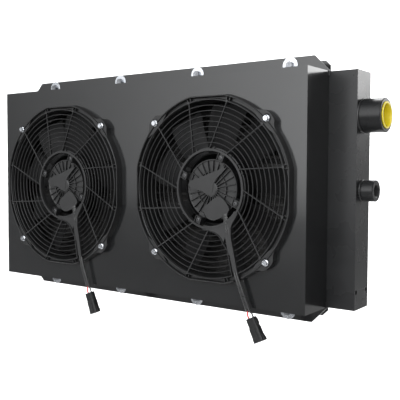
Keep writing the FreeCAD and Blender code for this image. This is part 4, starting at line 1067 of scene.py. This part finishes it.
def build_core(surfaces):
    """Fine corrugated fins between the oil tubes, cut in strips and offset like real ones."""
    count, tube, side_plate = 27, 4.4, 5.0
    gap = (398.0 - 2 * side_plate - count * tube) / (count + 1)
    pitch = gap + tube
    reach, step = 359.5, 3.1
    folds = int(2 * reach // step)
    step = 2 * reach / folds
    shape = Shape()
    for layer in range(count + 1):
        low = -199 + side_plate + layer * pitch + 0.12
        high = low + gap - 0.24
        phase = (layer % 2) * step / 2
        verts = []
        for k in range(folds):
            x = -reach + k * step
            for dx, z in ((0.0, low), (0.42 * step, low), (0.5 * step, high), (0.92 * step, high)):
                px = min(x + dx + phase * 0.5, reach)
                verts += [(px, -52.6, z), (px, -0.4, z)]
        rows = len(verts) // 2
        faces = [(2 * i, 2 * i + 1, 2 * i + 3, 2 * i + 2) for i in range(rows - 1)]
        shape.add(Shape(verts, faces))
    fins = make_piece("fin_pack", shape, surfaces["core_paint"],
                      replaces=["core_air_fins"], smooth=20, recalc=False)
    solid = fins.modifiers.new("sheet", "SOLIDIFY")
    solid.thickness = 0.00022
    solid.offset = 0.0
    for name in ("core_oil_tubes", "core_end_bars", "core_side_plates"):
        refined(name, surfaces["core_paint"] if name == "core_oil_tubes" else surfaces["painted_aluminium"],
                bevel=0.5)


def bead(radius, width):
    """A weld bead round a port: a rippled ring along Y, centred on Y = 0."""
    verts, section, count = [], 10, 90
    for k in range(count):
        angle = 2 * math.pi * k / count
        ripple = 1 + 0.10 * math.sin(angle * 30)
        for j in range(section):
            turn = 2 * math.pi * j / section
            r = radius + width * 0.62 * ripple * math.cos(turn)
            verts.append((r * math.sin(angle), width * 0.62 * ripple * math.sin(turn),
                          r * math.cos(angle)))
    return Shape(verts, ring_faces(count, section, True))


def seam(length, size, count):
    """A straight weld bead along Z, centred on the origin, with stacked ripples."""
    verts, section = [], 8
    for k in range(count + 1):
        z = -length / 2 + length * k / count
        ripple = 1 + 0.09 * math.sin(k * math.pi * 0.5)
        for j in range(section):
            turn = 2 * math.pi * j / section
            verts.append((size * ripple * math.cos(turn), size * ripple * math.sin(turn), z))
    return Shape(verts, loft_faces(count + 1, section))


def threads(radius, length, pitch):
    """The crests inside a tapped port, as rings along Y from its mouth at Y = 0."""
    profile = []
    for k in range(int(length / pitch)):
        y = k * pitch
        profile += [(radius + 1.0, y + pitch * 0.1), (radius, y + pitch * 0.45),
                    (radius, y + pitch * 0.55), (radius + 1.0, y + pitch * 0.95)]
    profile += [(radius + 1.1, profile[-1][1]), (radius + 1.1, profile[0][1])]
    return lathe(profile, 64)


def on_tank(shape, side, reach, z=0.0):
    """Turns a piece drawn about Y to stand out along X, its Y = 0 at this reach on one tank."""
    return Shape([Vector((side * (reach - v.y), v.x + TANK_Y, v.z + z)) for v in shape.verts],
                 shape.faces)


def build_ports(surfaces):
    paint, weld = surfaces["painted_aluminium"], surfaces["weld_paint"]
    for name in ("right_tank", "left_tank"):
        refined(name, paint, bevel=0.8, segments=3)
    face = 371.5 + 50.4

    def port(name, node, side, z, radius, bore, length):
        lip = 1.0
        profile = [(bore, lip * 0.6), (bore + 0.6, 0.0), (radius - lip, 0.0), (radius, lip),
                   (radius, length - 3.4), (radius - 0.8, length - 2.8), (radius - 1.9, length - 2.6),
                   (radius - 1.9, length + 0.4), (bore, length + 0.4)]
        shape = on_tank(lathe(profile, 96), side, face + length, z)
        make_piece(name, shape, paint, replaces=[node], smooth=30)

    port("inlet_boss_turned", "inlet_boss", 1, 124.0, 28.3, 19.6, 38.6)
    port("outlet_boss_turned", "outlet_boss", -1, -124.0, 28.3, 19.6, 38.6)
    port("sensor_boss_turned", "sensor_boss", 1, 0.0, 18.0, 10.4, 23.7)

    beads = Shape()
    for side, z, radius in ((1, 124.0, 27.0), (-1, -124.0, 27.0), (1, 0.0, 16.7)):
        ring = bead(radius, 2.6)
        beads.add(Shape([Vector((side * (face + 0.4 + v.y), v.x + TANK_Y, v.z + z)) for v in ring.verts],
                        ring.faces))
    for side in (-1, 1):
        line = seam(390, 1.3, 260)
        for y in (-53.2, -0.9):
            beads.add(line.moved(371.9 * side, y, 0))
    make_piece("weld_beads", beads, weld, smooth=60)

    tapped = on_tank(threads(9.3, 22.0, 1.8), 1, face + 23.0)
    make_piece("sensor_thread", tapped, surfaces["dark_hole"], smooth=25)

    for name, node, side, z in (("inlet_cap", "inlet_plug", 1, 124.0),
                                ("outlet_cap", "outlet_plug", -1, -124.0)):
        profile = [(0.01, 18.8), (18.1, 18.8), (18.3, 17.5), (18.5, 0.2), (18.9, -1.2), (19.6, -1.9),
                   (21.4, -1.9), (22.2, -1.3), (22.2, -0.4), (21.6, -0.05), (19.5, 0.0), (19.3, 1.0),
                   (19.1, 19.0), (18.2, 20.0), (0.01, 20.0)]
        cap = on_tank(lathe(profile, 96), side, face + 38.6, z)
        make_piece(name, cap, surfaces["yellow_plastic"], replaces=[node], smooth=35)


def dress_inside(surfaces):
    finish = {
        "motor_case": "motor_steel", "motor_magnets": "magnet_ceramic", "motor_brushes": "brush_carbon",
        "motor_bearings": "motor_steel", "fan_shaft": "motor_steel", "motor_armature": "wound_iron",
        "motor_commutator": "commutator_brass", "impeller_nut": "zinc_steel",
    }
    for side in ROUTES:
        for part, surface in finish.items():
            dress(f"{side}_{part}", surfaces[surface])


# ------------------------------------------------------------------ the scene

place_camera()
SURFACES = make_surfaces()
build_cables(SURFACES)
studio()
for fan in ROUTES:
    build_housing(fan, SURFACES)
    build_guard(fan, SURFACES)
    build_motor_cover(fan, SURFACES)
    build_impeller(fan, SURFACES)
    build_grommet(fan, SURFACES)
build_fasteners(SURFACES)
build_sheetmetal(SURFACES)
build_core(SURFACES)
build_ports(SURFACES)
dress_inside(SURFACES)
